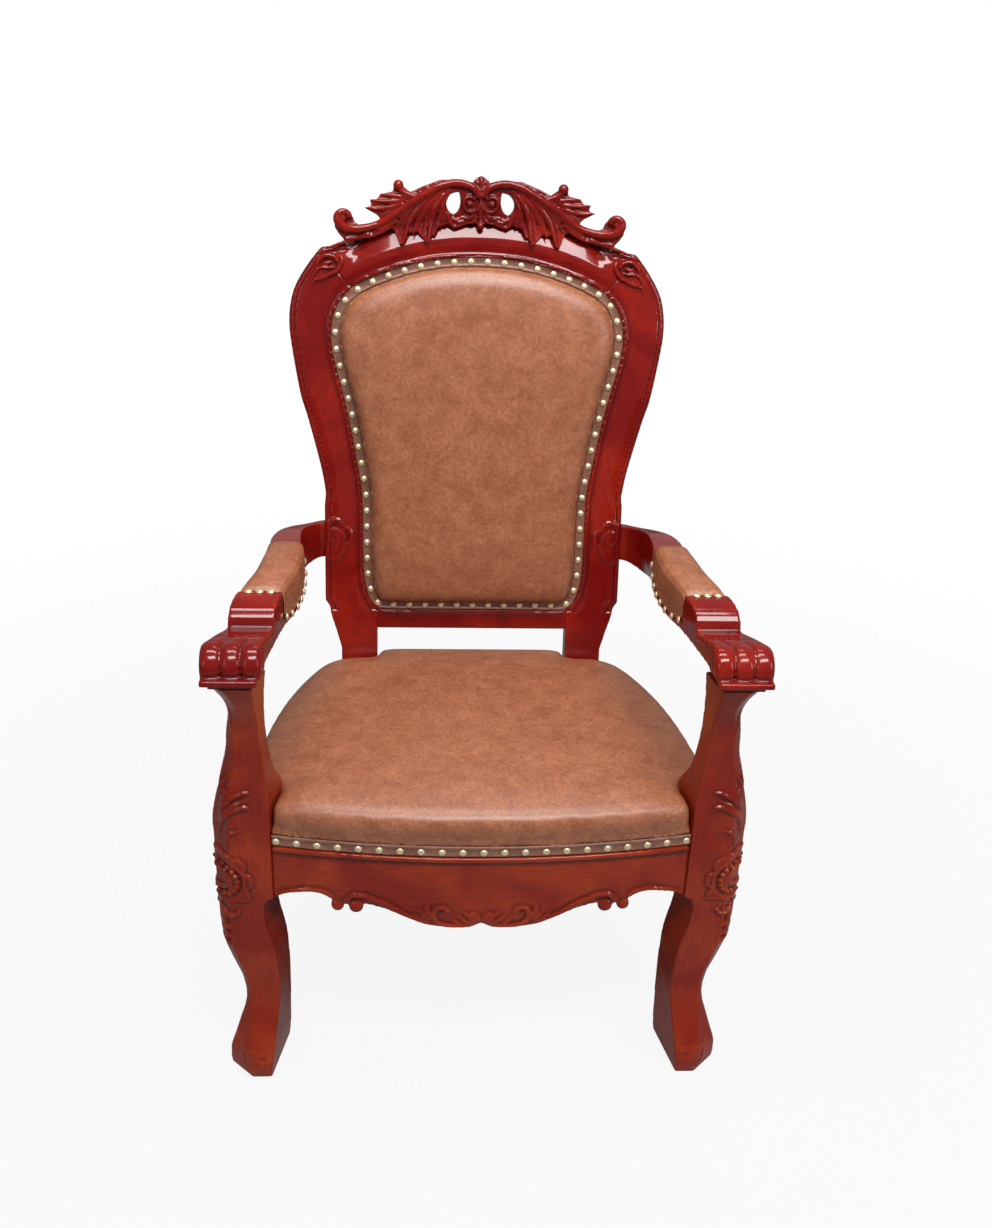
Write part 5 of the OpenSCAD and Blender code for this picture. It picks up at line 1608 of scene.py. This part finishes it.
# %% Finishes of the construction parts
FINISHES = [
    (STEEL, ["corner_block_screws", "seat_board_screws"]),
    (PINE, ["corner_blocks", "back_board", "rail_dowels", "back_frame_dowels", "arm_dowels"]),
    (GLIDE, ["floor_glides"]),
]
finish_of = {name: material for material, names in FINISHES for name in names}
for name in sorted(nodes):
    data = nodes[name].data
    if name in finish_of or name in CARVED or not data.materials:
        data.materials.clear()
        data.materials.append(finish_of.get(name, UPPER["Z"]))
print("own finish", len(finish_of), "parts")

# %% [markdown]
# The photograph was taken from a little above the chair's back, from in front and slightly to its
# left, with a lens of about 39 mm on a 36 mm frame. The camera stands there. The floor and the
# world are white, the way a product is cut out for a catalogue.

# %% Camera
CAMERA_PLACE = Vector((-0.0974, -1.7212, 1.3967))
YAW = math.radians(3.902)
PITCH = math.radians(25.335)
ROLL = math.radians(2.134)
forward = Vector((math.sin(YAW) * math.cos(PITCH), math.cos(YAW) * math.cos(PITCH), -math.sin(PITCH)))
level_right = Vector((math.cos(YAW), -math.sin(YAW), 0))
level_up = level_right.cross(forward)
right = math.cos(ROLL) * level_right + math.sin(ROLL) * level_up
up = math.cos(ROLL) * level_up - math.sin(ROLL) * level_right
lens = bpy.data.cameras.new("view")
lens.lens = 38.80
lens.sensor_width = 36.0
lens.shift_x = 0.00315
lens.shift_y = 0.0039
camera = bpy.data.objects.new("view", lens)
bpy.context.scene.collection.objects.link(camera)
camera.matrix_world = Matrix.Translation(CAMERA_PLACE) @ Matrix((right, up, -forward)).transposed().to_4x4()
bpy.context.scene.camera = camera
bpy.context.scene.view_settings.view_transform = "Standard"
print("camera at", [round(v, 3) for v in camera.location])


# %% Lamps
def soft_lamp(name, place, target, size, power):
    data = bpy.data.lights.new(name, "AREA")
    data.shape = "RECTANGLE"
    data.size, data.size_y = size
    data.energy = power
    lamp = bpy.data.objects.new(name, data)
    bpy.context.scene.collection.objects.link(lamp)
    aim = (Vector(target) - Vector(place)).to_track_quat("-Z", "Y")
    lamp.matrix_world = Matrix.Translation(place) @ aim.to_matrix().to_4x4()


soft_lamp("key", (0.3, -2.0, 3.5), (0.0, 0.0, 0.7), (2.4, 0.8), 106)
soft_lamp("overhead", (0.0, -0.2, 2.7), (0.0, -0.05, 0.5), (1.6, 0.4), 26)
soft_lamp("front_left", (-1.9, -2.3, 1.9), (0.0, 0.0, 0.6), (0.4, 1.2), 5)
soft_lamp("front_right", (2.3, -1.8, 1.7), (0.0, 0.0, 0.6), (0.4, 1.2), 12)
soft_lamp("behind", (0.3, 1.5, 3.3), (0.0, 0.2, 0.7), (1.4, 0.6), 8)

# %% [markdown]
# The world is white to the camera and weaker as a light, so the lamps still shape the wood. The
# floor works the same way: most of what the camera sees of it is its own white, and the rest is
# lit, which keeps the chair's shadow. In the lacquer's reflections both are equally grey, so that
# a leg has the same tone above and below the floor's edge.

# %% World and floor
WORLD_LIGHT = 0.2
SHINE = 0.26
world = bpy.data.worlds.new("studio")
bpy.context.scene.world = world
world.use_nodes = True
sky = world.node_tree
ray = node(sky, "ShaderNodeLightPath")
seen = maths(sky, "MAXIMUM", ray.outputs["Is Camera Ray"], ray.outputs["Is Transmission Ray"])
shine = maths(sky, "MULTIPLY", ray.outputs["Is Glossy Ray"], SHINE)
strength = maths(sky, "MAXIMUM", maths(sky, "MAXIMUM", seen, shine), WORLD_LIGHT)
sky.links.new(strength, sky.nodes["Background"].inputs["Strength"])
sky.nodes["Background"].inputs["Color"].default_value = (1, 1, 1, 1)

floor_mesh = bmesh.new()
bmesh.ops.create_grid(floor_mesh, x_segments=1, y_segments=1, size=30.0)
floor = bpy.data.objects.new("floor", mesh_from(floor_mesh))
bpy.context.scene.collection.objects.link(floor)
ground = bpy.data.materials.new("white_floor")
ground.use_nodes = True
tree = ground.node_tree
surface = tree.nodes["Principled BSDF"]
surface.inputs["Roughness"].default_value = 0.7
surface.inputs["Specular IOR Level"].default_value = 0.2
place = node(tree, "ShaderNodeTexCoord")
dust = node(tree, "ShaderNodeTexNoise", Scale=3.0, Detail=3.0)
tree.links.new(place.outputs["Object"], dust.inputs["Vector"])
ray = node(tree, "ShaderNodeLightPath")
pale = ramp(tree, dust.outputs["Fac"], [(0.3, (0.44, 0.44, 0.44)), (0.7, (0.48, 0.48, 0.48))])
lit = mix(tree, ray.outputs["Is Glossy Ray"], pale, (SHINE,) * 3)
tree.links.new(lit, surface.inputs["Base Color"])
glow = node(tree, "ShaderNodeEmission", Strength=1.0)
blend = node(tree, "ShaderNodeMixShader")
direct = maths(tree, "MAXIMUM", ray.outputs["Is Camera Ray"], ray.outputs["Is Transmission Ray"])
far = node(tree, "ShaderNodeVectorMath", operation="LENGTH")
tree.links.new(place.outputs["Object"], far.inputs[0])
own_white = node(tree, "ShaderNodeMapRange", interpolation_type="SMOOTHSTEP")
for label, value in (("From Min", 0.6), ("From Max", 2.2), ("To Min", 0.9), ("To Max", 1.0)):
    own_white.inputs[label].default_value = value
tree.links.new(far.outputs["Value"], own_white.inputs["Value"])
tree.links.new(maths(tree, "MULTIPLY", direct, own_white.outputs["Result"]), blend.inputs[0])
tree.links.new(surface.outputs[0], blend.inputs[1])
tree.links.new(glow.outputs[0], blend.inputs[2])
tree.links.new(blend.outputs[0], tree.nodes["Material Output"].inputs["Surface"])
floor.data.materials.append(ground)
